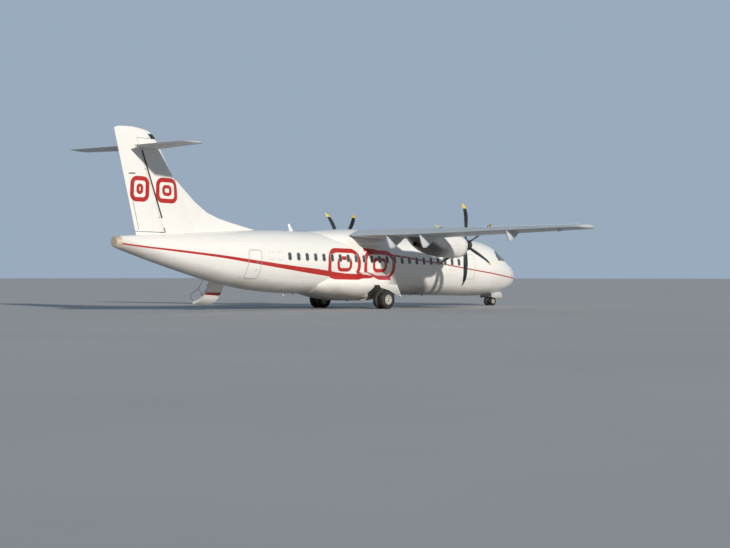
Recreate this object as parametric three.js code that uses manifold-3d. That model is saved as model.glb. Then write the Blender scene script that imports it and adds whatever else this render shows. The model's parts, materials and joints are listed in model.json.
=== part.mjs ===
// High-wing twin-turboprop airliner, parked on its landing gear with feathered propellers.
// Millimetres. +X is forward, +Y is to port, +Z is up, and the tyres stand on z = 0.
// Stations (s) run aft from the nose tip, heights (w) run up from the fuselage axis.
import * as THREE from 'three';
import Module from 'manifold-3d';
import { mergeVertices } from 'three/addons/utils/BufferGeometryUtils.js';

const wasm = await Module();
wasm.setup();

// Whole aircraft
const MID_STATION = 13583;
const AXIS_HEIGHT = 2115;
const NOSE_DOWN = THREE.MathUtils.degToRad(0.908);
const SEAT = 0.3;

// Fuselage: station, top, bottom, half width, height of the widest point
const HULL = [
  [0, -400, -440, 20, -420],
  [40, -250, -570, 150, -418],
  [120, -130, -665, 262, -415],
  [300, 50, -810, 440, -400],
  [600, 225, -970, 660, -365],
  [1000, 385, -1115, 870, -300],
  [1360, 490, -1205, 1020, -230],
  [1600, 665, -1255, 1100, -180],
  [2150, 1045, -1345, 1240, -90],
  [2500, 1195, -1385, 1315, -55],
  [3100, 1345, -1420, 1395, -15],
  [3700, 1415, -1432, 1427, 0],
  [4300, 1432.5, -1432.5, 1432.5, 0],
  [16300, 1432.5, -1432.5, 1432.5, 0],
  [17600, 1425, -1405, 1415, 15],
  [19300, 1370, -1305, 1330, 85],
  [20500, 1300, -1150, 1200, 170],
  [21700, 1225, -950, 1040, 260],
  [23200, 1120, -620, 815, 360],
  [24400, 1035, -330, 640, 425],
  [25500, 960, -50, 475, 500],
  [26850, 872, 320, 285, 600],
  [27040, 850, 375, 235, 612],
  [27090, 800, 430, 180, 615],
];
const HULL_SIDES = 32;
const HULL_STEP_NOSE = 320;
const HULL_STEP_TAIL = 1300;
const NOSE_SPAN = 4300;
const BARREL_END = 16300;

// Where the fuselage sections meet
const RADOME_END = 950;
const NOSE_END = 3350;
const CARGO_END = 5150;
const CABIN_END = 19700;
const ENTRY_END = 21050;
const CONE_END = 26860;
const TAIL_END = 27090;

// The tail cone is a shell as thick as its skin and frames, open to the rear pressure bulkhead
const TAIL_WALL = 80;
const TAIL_ROOM_END = 26300;

// Doors: first and last station, sill, head, corner radius, skin depth
const AIRSTAIR = { from: 19950, to: 20750, sill: -780, head: 970, corner: 90, depth: 60, side: 1 };
const CARGO_DOOR = { from: 3630, to: 4905, sill: -780, head: 750, corner: 90, depth: 60, side: 1 };
const SERVICE_DOOR = { from: 19840, to: 20480, sill: -780, head: 430, corner: 110, depth: 28, side: -1 };
const DOOR_GAP = 7;
const DOOR_LIP = 16;
const DOOR_STEP = 10;
const VESTIBULE_WALL = 320;
const OUTSIDE_HULL = 1700;
const STAIR_STEPS = 5;
const STAIR_STEP = { inset: 120, from: 960, to: 1200, half: 14 };

// Flight-deck glazing, seen from the side: station, height
const GLAZING_OUTLINE = [
  [1250, 520], [1640, 380], [2760, 400], [2870, 600], [2760, 850], [2120, 1000], [1900, 1250], [1200, 900],
];
const GLASS_DEPTH = 20;
const GLASS_INSET = 4;

// Wing: span station, leading edge, chord, trailing-edge height, incidence (degrees), thickness share
const WING = [
  [0, 11350, 2570, 1270, 2.2, 0.18],
  [4500, 11350, 2570, 1300, 2.2, 0.18],
  [13400, 12010, 1600, 1490, 0.8, 0.13],
  [13480, 12050, 1510, 1494, 0.8, 0.095],
  [13525, 12150, 1330, 1500, 0.8, 0.035],
];
const FOIL_STEPS = 9;
const WING_CAMBER = 0.02;
const CAMBER_PEAK = 0.4;

// Wing control surfaces: inner and outer span station, hinge share of the chord
const FLAP_HINGE_SHARE = 0.77;
const AILERON_HINGE_SHARE = 0.74;
const INNER_FLAP = { from: 1500, to: 3540, lowIn: 730, lowOut: 715 };
const OUTER_FLAP = { from: 4560, to: 10150, lowIn: 690, lowOut: 968 };
const AILERON = { from: 10230, to: 13260 };
const COVE_GAP = 9;
const NOSE_STEPS = 10;
const FLAP_END_GAP = 32;
const AILERON_END_GAP = 16;
const FLAP_TRAVEL = 35;
const AILERON_TRAVEL = 14;

// Reach aft and half height of the blocks that cut out the control surfaces
const SURFACE_BLOCK = { reach: 1200, rudderReach: 2200, half: 420 };

// Flap hinge fairings: span station, half width
const INNER_FAIRINGS = [[3300, 75]];
const OUTER_FAIRINGS = [[5250, 75], [10010, 65]];
const AILERON_FAIRING = { y: 12400, half: 32, drop: 120 };

// Fairing over the wing root: station, top, half width
const ROOT_FAIRING = [
  [10300, 1425, 420],
  [10700, 1490, 760],
  [11300, 1600, 1090],
  [12000, 1655, 1150],
  [12900, 1655, 1150],
  [13800, 1615, 1150],
  [14700, 1540, 980],
  [15400, 1475, 720],
  [15900, 1425, 420],
];
const HUMP_RINGS = 10;
const HUMP_SIDES = 20;

// Landing-gear fairing: station, half width, bottom
const SPONSON = [
  [10970, 1060, -1380],
  [11300, 1420, -1530],
  [11800, 1780, -1670],
  [12400, 1930, -1725],
  [13200, 1930, -1735],
  [14000, 1780, -1700],
  [15000, 1440, -1570],
  [15980, 1040, -1395],
];
const SPONSON_WAIST = -860;
const SPONSON_TOP = -260;
const SPONSON_RINGS = 11;
const SPONSON_SIDES = 24;
const WELL = { from: 11780, to: 13080, inner: 700, outer: 1790, ceiling: -780, lip: -985, mouth: 2100 };
const ARCH = { inner: 1500, head: 13000, foot: 13880 };
const BELOW_BELLY = -1900;

// Nacelle: station, top, bottom, half width, height of the widest point
const ENGINE_Y = 4050;
const NACELLE = [
  [9175, 1265, 560, 300, 950],
  [9300, 1330, 430, 370, 930],
  [9650, 1430, 345, 430, 900],
  [10200, 1530, 335, 475, 900],
  [10900, 1590, 345, 495, 930],
  [11500, 1600, 400, 490, 980],
  [12100, 1560, 530, 450, 1050],
  [12600, 1480, 740, 370, 1120],
  [13000, 1400, 1010, 240, 1200],
  [13200, 1330, 1180, 110, 1255],
];
const NACELLE_SIDES = 20;
const INTAKE = { s: 9175, depth: 320, w: 530, halfWidth: 190, halfHeight: 85 };

// Exhaust stub: station and height of both ends, offset outboard of the nacelle's middle
const EXHAUST = {
  from: 11900, fromHeight: 700, to: 12900, toHeight: 900, offset: 175, halfWidth: 125, halfHeight: 105,
};
const EXHAUST_WALL = 12;
const EXHAUST_BORE_DEPTH = 320;
const PAST_MOUTH = 1.2;
const EXHAUST_SIDES = 18;

// Propeller: radius, chord, thickness, sweep of the middle of the chord, twist (degrees)
const PROP_STATION = 8985;
const PROP_HEIGHT = 973;
const BLADE = [
  [180, 130, 110, 0, -22],
  [330, 150, 90, 0, -22],
  [520, 225, 58, -12, -16],
  [900, 290, 40, -28, -8],
  [1300, 295, 28, -18, 0],
  [1600, 255, 20, 40, 4],
  [1820, 185, 13, 140, 6],
  [1965, 70, 8, 262, 7],
];
const BLADE_COUNT = 6;
const BLADE_SIDES = 6;
const HUB_SIDES = 20;
const HUB_RADIUS = 272;
const HUB_FRONT = 8880;
const HUB_REAR = 9120;
const SHAFT_RADIUS = 105;
const SPINNER_TIP = 8590;
const RIGHT_PROP_TURN = 0;
const LEFT_PROP_TURN = 27;

// Fin with rudder: height, leading edge, trailing edge, thickness
const FIN = [
  [640, 22080, 25825, 440],
  [1100, 22370, 25957, 415],
  [2500, 23245, 26355, 345],
  [3430, 23870, 26620, 300],
  [4980, 24905, 27060, 235],
  [5200, 25120, 27122, 200],
  [5330, 25380, 27155, 150],
  [5400, 25760, 26960, 90],
  [5432, 26080, 26560, 30],
];
const FIN_FOIL_STEPS = 7;
const DORSAL = [
  [18500, 1300, 20],
  [19420, 1450, 40],
  [20520, 1655, 65],
  [21240, 1810, 90],
  [21960, 2045, 115],
  [22660, 2465, 140],
  [23360, 3025, 125],
  [23760, 3350, 90],
];
const RUDDER_HINGE = { low: [24510, 1020], high: [25790, 4280] };
const RUDDER_BOTTOM = 1100;
const HORN_BOTTOM = 5000;
const RUDDER_GAP = 12;
const RUDDER_END_GAP = 36;
const RUDDER_TRAVEL = 27;

// Stabiliser with elevators: span station, leading edge, chord, thickness share
const STABILISER_HEIGHT = 4620;
const STABILISER = [
  [0, 24850, 1650, 0.11],
  [3590, 25510, 1110, 0.10],
  [3655, 25600, 960, 0.04],
];
const ELEVATOR_HINGE = { inner: [0, 25950], outer: [3655, 26180] };
const ELEVATOR_INNER_END = 120;
const ELEVATOR_UP = 23;
const ELEVATOR_DOWN = 13;
const PAST_TIP = 110;
const ABOVE_FIN = { from: 24000, to: 28000, half: 600, top: 5600 };
const RUDDER_ROOM = [[25770, 160], [26000, 240], [26750, 660]];

// Main gear
const MAIN_AXLE = { s: 12565, y: 2050 };
const MAIN_TYRE = { radius: 432, width: 254, rim: 235, spacing: 430 };
const TRUNNION = { y: 1440, w: -880, radius: 62 };
const KNEE = { s: 12095, y: 2050, w: -1430 };
const LEG_RADIUS = 78;
const ARM_RADIUS = 62;
const MAIN_AXLE_RADIUS = 46;
const SHOCK = { s: 12330, y: 1975, topHeight: -1090, radius: 44 };

// Main-gear door: station and height of its corners, seen from the side
const GEAR_DOOR_OUTLINE = [
  [11620, -960], [12860, -960], [12860, -1120], [12420, -1215], [12080, -1400], [11760, -1520],
];
const GEAR_DOOR_TOP_Y = 2010;
const GEAR_DOOR_LEAN = 0.72;
const GEAR_DOOR_THICKNESS = 26;

// Nose gear
const NOSE_AXLE_STATION = 1795;
const NOSE_TYRE = { radius: 225, width: 190, rim: 120, spacing: 320 };
const NOSE_BAY = { from: 1180, to: 2180, half: 240, ceiling: -860 };
const NOSE_LEG_RADIUS = 58;
const NOSE_PISTON_RADIUS = 40;
const NOSE_LEG_END = -1390;
const NOSE_AXLE_RADIUS = 28;
const STEERING_TRAVEL = 60;
const NOSE_DOOR = { from: 1240, to: 2120, top: -1225, bottom: -1525, topY: 300, bottomY: 400, thickness: 22 };

// Hinge fittings of the control surfaces: a lug on the fixed side holds a pin in a slot of the moving side
const LUG = { pin: 8, clearance: 0.3, end: 20, half: 12, arm: 15, root: 45 };
const SLOT = { half: 17, behind: 26, ahead: 60, height: 400 };
const FITTING_SEGMENTS = 10;
const AILERON_FITTINGS = [11000, 12400];
const ELEVATOR_FITTINGS = [1000, 2600];
const RUDDER_FITTINGS = [1700, 3700];

// Hinge bosses of the flaps and doors, round on their hinge lines
const FLAP_BOSS = { radius: 24, half: 20 };
const DOOR_BOSS = { radius: 12, half: 40, inset: 240 };
const DOOR_LEAF = { inwards: 30, height: 14 };
const SILL_BRACKET = { inwards: 60, depth: 28 };
const BOSS_SEGMENTS = 16;

// Tyres and wheels
const WHEEL_SEGMENTS = 18;
const BAR_SEGMENTS = 10;
const RIM_CLEARANCE = 0.4;
const AXLE_CLEARANCE = 1;

// Jacking pads under the belly fairing and the nose
const JACK_PAD = { s: 13600, y: 760, w: -1745, radius: 55, root: -1650 };
const NOSE_PAD = { s: 2900, w: -1432, radius: 45, root: -1380 };

// Turning ranges of the doors in degrees; the airstair stands open
const AIRSTAIR_TRAVEL = 136;
const CARGO_DOOR_TRAVEL = 115;

const FINISHES = {
  white_paint: [0xf0eee9, 0.32, 0.05],
  belly_paint: [0xdedcd6, 0.38, 0.05],
  radome_paint: [0xefede8, 0.35, 0.0],
  wing_paint: [0xc9ced3, 0.4, 0.1],
  tail_metal: [0xa38c6c, 0.45, 0.4],
  glazing: [0x11161c, 0.08, 0.0],
  exhaust_metal: [0x2a2623, 0.55, 0.7],
  blade_composite: [0x17181a, 0.42, 0.0],
  spinner_paint: [0x1b1c1f, 0.3, 0.1],
  gear_steel: [0xb9bcbd, 0.35, 0.5],
  wheel_paint: [0xb8b2a6, 0.4, 0.3],
  tyre_rubber: [0x1a1a1a, 0.85, 0.0],
};

const materials = Object.fromEntries(
  Object.entries(FINISHES).map(([name, [color, roughness, metalness]]) => [
    name,
    new THREE.MeshStandardMaterial({ name, color, roughness, metalness }),
  ]),
);

const point = (s, y, w) => new THREE.Vector3(MID_STATION - s, y, w);

// Height above the fuselage axis of a point at this station and this height above the ground
function heightFromGround(s, ground) {
  const x = MID_STATION - s;
  return (ground - AXIS_HEIGHT + x * Math.sin(NOSE_DOWN)) / Math.cos(NOSE_DOWN);
}

// Solids

function solidOf(geometry) {
  const bare = geometry.clone();
  bare.deleteAttribute('normal');
  bare.deleteAttribute('uv');
  const merged = mergeVertices(bare, 1e-3);
  return new wasm.Manifold(new wasm.Mesh({
    numProp: 3,
    vertProperties: new Float32Array(merged.attributes.position.array),
    triVerts: new Uint32Array(merged.index.array),
  }));
}

function geometryOf(solid) {
  const { vertProperties, triVerts } = solid.getMesh();
  const geometry = new THREE.BufferGeometry();
  geometry.setAttribute('position', new THREE.BufferAttribute(vertProperties, 3));
  geometry.setIndex(new THREE.BufferAttribute(triVerts, 1));
  geometry.computeVertexNormals();
  return geometry;
}

function newellNormal(ring) {
  const normal = new THREE.Vector3();
  ring.forEach((here, index) => {
    const next = ring[(index + 1) % ring.length];
    normal.x += (here.y - next.y) * (here.z + next.z);
    normal.y += (here.z - next.z) * (here.x + next.x);
    normal.z += (here.x - next.x) * (here.y + next.y);
  });
  return normal.normalize();
}

// Triangles that close one flat ring
function capOf(ring) {
  const normal = newellNormal(ring);
  const across = Math.abs(normal.z) > 0.9 ? new THREE.Vector3(1, 0, 0) : new THREE.Vector3(0, 0, 1);
  const u = across.cross(normal).normalize();
  const v = normal.clone().cross(u);
  const flat = ring.map((corner) => new THREE.Vector2(corner.dot(u), corner.dot(v)));
  return THREE.ShapeUtils.triangulateShape(flat, []);
}

function signedVolume(points, faces) {
  let volume = 0;
  for (let i = 0; i < faces.length; i += 3) {
    const [a, b, c] = [points[faces[i]], points[faces[i + 1]], points[faces[i + 2]]];
    volume += a.dot(b.clone().cross(c));
  }
  return volume;
}

// Solid between rings of equal length, closed at both ends
function loft(rings) {
  const count = rings[0].length;
  const points = rings.flat();
  const faces = [];
  for (let i = 0; i + 1 < rings.length; i += 1) {
    for (let j = 0; j < count; j += 1) {
      const k = (j + 1) % count;
      const [a, b, c, d] = [i * count + j, i * count + k, (i + 1) * count + k, (i + 1) * count + j];
      faces.push(a, b, c, a, c, d);
    }
  }
  const last = (rings.length - 1) * count;
  capOf(rings[0]).forEach(([a, b, c]) => faces.push(a, c, b));
  capOf(rings[rings.length - 1]).forEach(([a, b, c]) => faces.push(last + a, last + b, last + c));
  fixCaps(faces, rings);
  if (signedVolume(points, faces) < 0) {
    for (let i = 0; i < faces.length; i += 3) [faces[i], faces[i + 1]] = [faces[i + 1], faces[i]];
  }
  const geometry = new THREE.BufferGeometry();
  geometry.setAttribute('position', new THREE.Float32BufferAttribute(points.flatMap((p) => p.toArray()), 3));
  geometry.setIndex(faces);
  return solidOf(geometry);
}

// Turns each cap the way that its edges run against the sides' edges
function fixCaps(faces, rings) {
  const count = rings[0].length;
  const sides = (rings.length - 1) * count * 6;
  const edges = new Set();
  for (let i = 0; i < sides; i += 3) {
    for (let j = 0; j < 3; j += 1) edges.add(`${faces[i + j]}_${faces[i + ((j + 1) % 3)]}`);
  }
  const capSize = (faces.length - sides) / 2;
  for (const start of [sides, sides + capSize]) {
    let clash = false;
    for (let i = start; i < start + capSize; i += 3) {
      for (let j = 0; j < 3; j += 1) clash ||= edges.has(`${faces[i + j]}_${faces[i + ((j + 1) % 3)]}`);
    }
    if (clash) {
      for (let i = start; i < start + capSize; i += 3) [faces[i], faces[i + 1]] = [faces[i + 1], faces[i]];
    }
  }
}

const join = (solids) => solids.reduce((whole, solid) => whole.add(solid));
const cut = (solid, tools) => tools.reduce((rest, tool) => rest.subtract(tool), solid);

function box(sFrom, sTo, yFrom, yTo, wFrom, wTo) {
  const geometry = new THREE.BoxGeometry(sTo - sFrom, yTo - yFrom, wTo - wFrom);
  geometry.translate(MID_STATION - (sFrom + sTo) / 2, (yFrom + yTo) / 2, (wFrom + wTo) / 2);
  return solidOf(geometry);
}

// Round bar between two points
function bar(from, to, radius, endRadius = radius, segments = BAR_SEGMENTS) {
  const length = from.distanceTo(to);
  const geometry = new THREE.CylinderGeometry(endRadius, radius, length, segments);
  const along = to.clone().sub(from).normalize();
  geometry.applyQuaternion(new THREE.Quaternion().setFromUnitVectors(new THREE.Vector3(0, 1, 0), along));
  const middle = from.clone().add(to).multiplyScalar(0.5);
  geometry.translate(middle.x, middle.y, middle.z);
  return solidOf(geometry);
}

// Prism across the span from an outline of [station, height] pairs
function sidePrism(outline, yFrom, yTo) {
  return loft([yFrom, yTo].map((y) => outline.map(([s, w]) => point(s, y, w))));
}

function mirrored(solid) {
  return solid.mirror([0, 1, 0]);
}

// Round boss about a hinge line, and the wider room that it turns in
function hingeBoss(from, to, radius) {
  const room = (radius + LUG.clearance) / Math.cos(Math.PI / BOSS_SEGMENTS);
  const along = to.clone().sub(from).normalize().multiplyScalar(LUG.clearance);
  return {
    boss: bar(from, to, radius, radius, BOSS_SEGMENTS),
    room: bar(from.clone().sub(along), to.clone().add(along), room, room, BOSS_SEGMENTS),
  };
}

// Fitting at one place of a hinge line: what the moving side loses and gains, and the fixed side's lug
function hingeFitting(centre, along, noseRadius) {
  const across = new THREE.Vector3().crossVectors(new THREE.Vector3(1, 0, 0), along).normalize();
  const ahead = new THREE.Vector3().crossVectors(along, across);
  const turned = new THREE.Matrix4().makeBasis(ahead, along, across).setPosition(centre);
  const block = (from, to, half, height) => {
    const geometry = new THREE.BoxGeometry(to - from, 2 * half, 2 * height);
    geometry.translate((from + to) / 2, 0, 0);
    return solidOf(geometry.applyMatrix4(turned));
  };
  const round = (radius, half) => {
    const geometry = new THREE.CylinderGeometry(radius, radius, 2 * half, FITTING_SEGMENTS);
    return solidOf(geometry.applyMatrix4(turned));
  };
  const bore = (LUG.pin + LUG.clearance) / Math.cos(Math.PI / FITTING_SEGMENTS);
  const arm = block(0, noseRadius + LUG.root, LUG.half, LUG.arm);
  return {
    slot: block(-SLOT.behind, noseRadius + SLOT.ahead, SLOT.half, SLOT.height),
    pin: round(LUG.pin, SLOT.half + 10),
    lug: arm.add(round(LUG.end, LUG.half)).subtract(round(bore, LUG.half + 1)),
  };
}

// Moving side with its slots and pins
function fitted(solid, fittings) {
  return join([cut(solid, fittings.map(({ slot }) => slot)), ...fittings.map(({ pin }) => pin)]);
}

// Smooth curves through table rows

const slopeBetween = (rows, column, i) =>
  (rows[i + 1][column] - rows[i][column]) / (rows[i + 1][0] - rows[i][0]);

// Slope at a row that adds no bulge between the rows
function slopeAt(rows, column, i) {
  if (i === 0) return slopeBetween(rows, column, 0);
  if (i === rows.length - 1) return slopeBetween(rows, column, i - 1);
  const [before, after] = [slopeBetween(rows, column, i - 1), slopeBetween(rows, column, i)];
  return before * after <= 0 ? 0 : (2 * before * after) / (before + after);
}

// Row that a value falls behind, the last but one at most
function rowBefore(rows, at) {
  const after = rows.findIndex((row) => row[0] > at);
  return after < 0 ? rows.length - 2 : Math.max(after - 1, 0);
}

function smooth(rows, column, at) {
  const index = rowBefore(rows, at);
  const [start, end] = [rows[index], rows[index + 1]];
  const span = end[0] - start[0];
  const t = (at - start[0]) / span;
  const [slopeA, slopeB] = [slopeAt(rows, column, index), slopeAt(rows, column, index + 1)];
  return start[column] * (2 * t ** 3 - 3 * t ** 2 + 1) + end[column] * (3 * t ** 2 - 2 * t ** 3)
    + span * (slopeA * (t ** 3 - 2 * t ** 2 + t) + slopeB * (t ** 3 - t ** 2));
}

function straight(rows, column, at) {
  const index = rowBefore(rows, at);
  const t = (at - rows[index][0]) / (rows[index + 1][0] - rows[index][0]);
  return rows[index][column] + t * (rows[index + 1][column] - rows[index][column]);
}

const turns = (count) => Array.from({ length: count }, (_, i) => (2 * Math.PI * i) / count);

// Fuselage

// Round section with its own top, bottom and widest height
function oval(s, y, top, bottom, half, wide, sides) {
  return turns(sides).map((angle) => {
    const up = Math.cos(angle);
    return point(s, y + Math.sin(angle) * half, wide + up * (up > 0 ? top - wide : wide - bottom));
  });
}

function hullRing(s, grow, at = s) {
  const [top, bottom, half, wide] = [1, 2, 3, 4].map((column) => smooth(HULL, column, s));
  return oval(at, 0, top + grow, bottom - grow, half + grow, wide, HULL_SIDES);
}

// Stations of every ring, the same for all sections and for what is cut to fit them
function ringStations() {
  const joints = [RADOME_END, NOSE_END, CARGO_END, CABIN_END, ENTRY_END, CONE_END];
  const rows = [...HULL.map((row) => row[0]), ...joints].sort((a, b) => a - b);
  return rows.slice(0, -1).flatMap((start, i) => {
    const gap = rows[i + 1] - start;
    const barrel = start >= NOSE_SPAN && start < BARREL_END;
    const step = start < NOSE_SPAN ? HULL_STEP_NOSE : HULL_STEP_TAIL;
    const count = barrel ? 1 : Math.ceil(gap / step);
    return Array.from({ length: count }, (_, k) => start + (gap * k) / count);
  });
}

function hullStations(from, to) {
  return [from, ...ringStations().filter((s) => s > from + 12 && s < to - 12), to];
}

function hull(from, to, grow = 0) {
  return loft(hullStations(from, to).map((s) => hullRing(s, grow)));
}

function hullSection(from, to) {
  return hull(from + (from > 0 ? SEAT / 2 : 0), to - SEAT / 2);
}

// Upright outline with round corners, pushed through one side of the fuselage
function doorPrism({ from, to, sill, head, corner, side }, grow, yInner) {
  const [a, b, low, high, r] = [from - grow, to + grow, sill - grow, head + grow, corner + grow];
  const corners = [[b - r, high - r, 0], [a + r, high - r, 1], [a + r, low + r, 2], [b - r, low + r, 3]];
  const outline = corners.flatMap(([s, w, quarter]) => [0, 1, 2, 3].map((i) => {
    const angle = ((quarter + i / 3) * Math.PI) / 2;
    return [s + r * Math.cos(angle), w + r * Math.sin(angle)];
  }));
  return sidePrism(outline, side * yInner, side * OUTSIDE_HULL);
}

// Curved panel with an outer lip, stepped in behind it so that its inner edge clears the frame as it swings
function doorSkin(door) {
  const whole = hull(door.from - 200, door.to + 200);
  const shell = (depth) => whole.subtract(hull(door.from - 400, door.to + 400, -depth));
  const lip = shell(DOOR_LIP).intersect(doorPrism(door, 0, 500));
  return lip.add(shell(door.depth).intersect(doorPrism(door, -DOOR_STEP, 500)));
}

// Steps on the inner face of the airstair door
function stairSteps(door) {
  const rise = (door.head - door.sill) / (STAIR_STEPS + 1);
  return join(Array.from({ length: STAIR_STEPS }, (_, i) => {
    const w = door.sill + rise * (i + 1);
    const { inset, from, to, half } = STAIR_STEP;
    return box(door.from + inset, door.to - inset, from, to, w - half, w + half);
  }));
}

function halfWidthAt(s, w) {
  const [top, bottom, half, wide] = [1, 2, 3, 4].map((column) => smooth(HULL, column, s));
  const reach = w > wide ? (w - wide) / (top - wide) : (wide - w) / (wide - bottom);
  return half * Math.sqrt(Math.max(0, 1 - reach ** 2));
}

// Everything within reach of a hinge line that runs along the fuselage
function sweptBy(door, hingeY, hingeW, reachW) {
  const edgeY = Math.max(...[door.from, door.to].map((s) => halfWidthAt(s, reachW)));
  const radius = Math.hypot(edgeY - hingeY, reachW - hingeW);
  const from = point(door.from - 100, hingeY, hingeW);
  return bar(from, point(door.to + 100, hingeY, hingeW), radius, radius, 96);
}

// Bosses near both ends of a door's hinge line
function doorBosses({ from, to }, hingeY, hingeW) {
  return [from + DOOR_BOSS.inset, to - DOOR_BOSS.inset].map((s) =>
    hingeBoss(point(s - DOOR_BOSS.half, hingeY, hingeW), point(s + DOOR_BOSS.half, hingeY, hingeW),
      DOOR_BOSS.radius));
}

// Brackets on the sill, out to the bosses of the airstair's straight hinge line
function sillBrackets({ from, to, sill }, hingeY) {
  return [from + DOOR_BOSS.inset, to - DOOR_BOSS.inset].map((s) =>
    box(s - DOOR_BOSS.half, s + DOOR_BOSS.half, halfWidthAt(s, sill) - SILL_BRACKET.inwards,
      hingeY, sill - DOOR_GAP - SILL_BRACKET.depth, sill - DOOR_GAP));
}

function airstairSolid(hingeY) {
  const panel = doorSkin(AIRSTAIR);
  const steps = stairSteps(AIRSTAIR).intersect(hull(AIRSTAIR.from, AIRSTAIR.to, -AIRSTAIR.depth / 2));
  const bosses = doorBosses(AIRSTAIR, hingeY, AIRSTAIR.sill).map(({ boss }) => boss);
  const half = DOOR_BOSS.half - SEAT;
  const leaves = [AIRSTAIR.from + DOOR_BOSS.inset, AIRSTAIR.to - DOOR_BOSS.inset].map((s) =>
    box(s - half, s + half, halfWidthAt(s, AIRSTAIR.sill) - DOOR_LEAF.inwards, hingeY,
      AIRSTAIR.sill, AIRSTAIR.sill + DOOR_LEAF.height));
  const swept = sweptBy(AIRSTAIR, hingeY, AIRSTAIR.sill, AIRSTAIR.head);
  return join([...leaves, panel.add(steps).intersect(swept), ...bosses]);
}

function cargoDoorSolid(hingeY) {
  const bosses = doorBosses(CARGO_DOOR, hingeY, CARGO_DOOR.head).map(({ boss }) => boss);
  return join([doorSkin(CARGO_DOOR).intersect(sweptBy(CARGO_DOOR, hingeY, CARGO_DOOR.head, CARGO_DOOR.sill)),
    ...bosses]);
}

// Wing and its moving surfaces

// Upper and lower height of a wing section at a share of its chord, for a chord of one
function foilHeight(share, thickness, camber) {
  const half = 5 * thickness * (0.2969 * Math.sqrt(share) - 0.126 * share - 0.3516 * share ** 2
    + 0.2843 * share ** 3 - 0.1036 * share ** 4) + 0.0016 * share;
  const p = CAMBER_PEAK;
  const line = share < p
    ? (camber / p ** 2) * (2 * p * share - share ** 2)
    : (camber / (1 - p) ** 2) * (1 - 2 * p + 2 * p * share - share ** 2);
  return [line + half, line - half];
}

// Shares of the chord along the upper side to the leading edge and back along the lower side
function foilPath(steps) {
  const shares = Array.from({ length: steps + 1 }, (_, i) => 1 - Math.cos((Math.PI / 2) * (1 - i / steps)));
  const upper = shares.map((share) => [share, 0]);
  const lower = shares.slice(0, -1).reverse().map((share) => [share, 1]);
  return [...upper, ...lower];
}

function wingRing(y, grow) {
  const [leading, chord, trailingHeight, incidence, thickness] = [1, 2, 3, 4, 5]
    .map((column) => straight(WING, column, Math.abs(y)));
  const tilt = Math.tan(THREE.MathUtils.degToRad(incidence));
  return foilPath(FOIL_STEPS).map(([share, side]) => {
    const height = foilHeight(share, thickness, WING_CAMBER)[side] * chord;
    const out = share > 0 ? grow * (1 - 2 * side) : 0;
    const s = leading + share * chord + grow * (2 * share - 1);
    return point(s, y, trailingHeight + (1 - share) * chord * tilt + height + out);
  });
}

function wingBlank(grow = 0) {
  const outer = WING.slice(1).map((row) => row[0]);
  const spans = [...outer.map((y) => -y).reverse(), ...outer];
  return loft(spans.map((y) => wingRing(y + Math.sign(y) * grow, grow)));
}

// Middle and half thickness of the wing at a span station and share of the chord
function wingMiddle(y, share) {
  const [leading, chord, trailingHeight, incidence, thickness] = [1, 2, 3, 4, 5]
    .map((column) => straight(WING, column, y));
  const [upper, lower] = foilHeight(share, thickness, WING_CAMBER);
  const base = trailingHeight + (1 - share) * chord * Math.tan(THREE.MathUtils.degToRad(incidence));
  return {
    s: leading + share * chord,
    w: base + ((upper + lower) / 2) * chord,
    half: ((upper - lower) / 2) * chord,
  };
}

// Round nose from its top edge to its bottom edge, cut off a little ahead of its middle
function noseArc(radius, ahead) {
  const start = Math.acos(-ahead / radius);
  return Array.from({ length: NOSE_STEPS + 1 }, (_, k) => {
    const angle = start + ((2 * Math.PI - 2 * start) * k) / NOSE_STEPS;
    return [radius * Math.cos(angle), radius * Math.sin(angle)];
  });
}

// Everything aft of a round nose, between two span stations
function aftOfNose(ends, grow, endGrow) {
  const order = ends[0].y < ends[1].y ? [-1, 1] : [1, -1];
  return loft(ends.map(({ y, s, w, half }, i) => {
    const corner = (ds, dw) => point(s + ds, y + order[i] * endGrow, w + dw);
    const nose = noseArc(half + grow, grow).map(([back, up]) => corner(back, up));
    const { reach, half: high } = SURFACE_BLOCK;
    return [corner(reach, high), corner(-grow, high), ...nose, corner(-grow, -high), corner(reach, -high)];
  }));
}

function surfaceEnds({ from, to }, share) {
  return [from, to].map((y) => ({ y, ...wingMiddle(y, share) }));
}

// Hinge line of a flap, straight below the middle of its nose
function flapHinge(flap) {
  const ends = surfaceEnds(flap, FLAP_HINGE_SHARE);
  return [point(ends[0].s, ends[0].y, flap.lowIn), point(ends[1].s, ends[1].y, flap.lowOut)];
}

// One station of a hinge fairing: a keel that narrows downwards
function keelRing(s, y, top, bottom, half) {
  const depth = Math.max(top - bottom, 12);
  const profile = [
    [1, 0], [1, -0.45], [0.72, -0.8], [0.3, -1], [-0.3, -1], [-0.72, -0.8], [-1, -0.45], [-1, 0],
  ];
  return profile.map(([across, down]) => point(s, y + across * half, top + down * depth));
}

// Boss of a flap hinge at the foot of a fairing
function flapBoss(flap, y) {
  const [inner, outer] = flapHinge(flap);
  const at = (span) => inner.clone().lerp(outer, (span - flap.from) / (flap.to - flap.from));
  return hingeBoss(at(y - FLAP_BOSS.half), at(y + FLAP_BOSS.half), FLAP_BOSS.radius);
}

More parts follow.
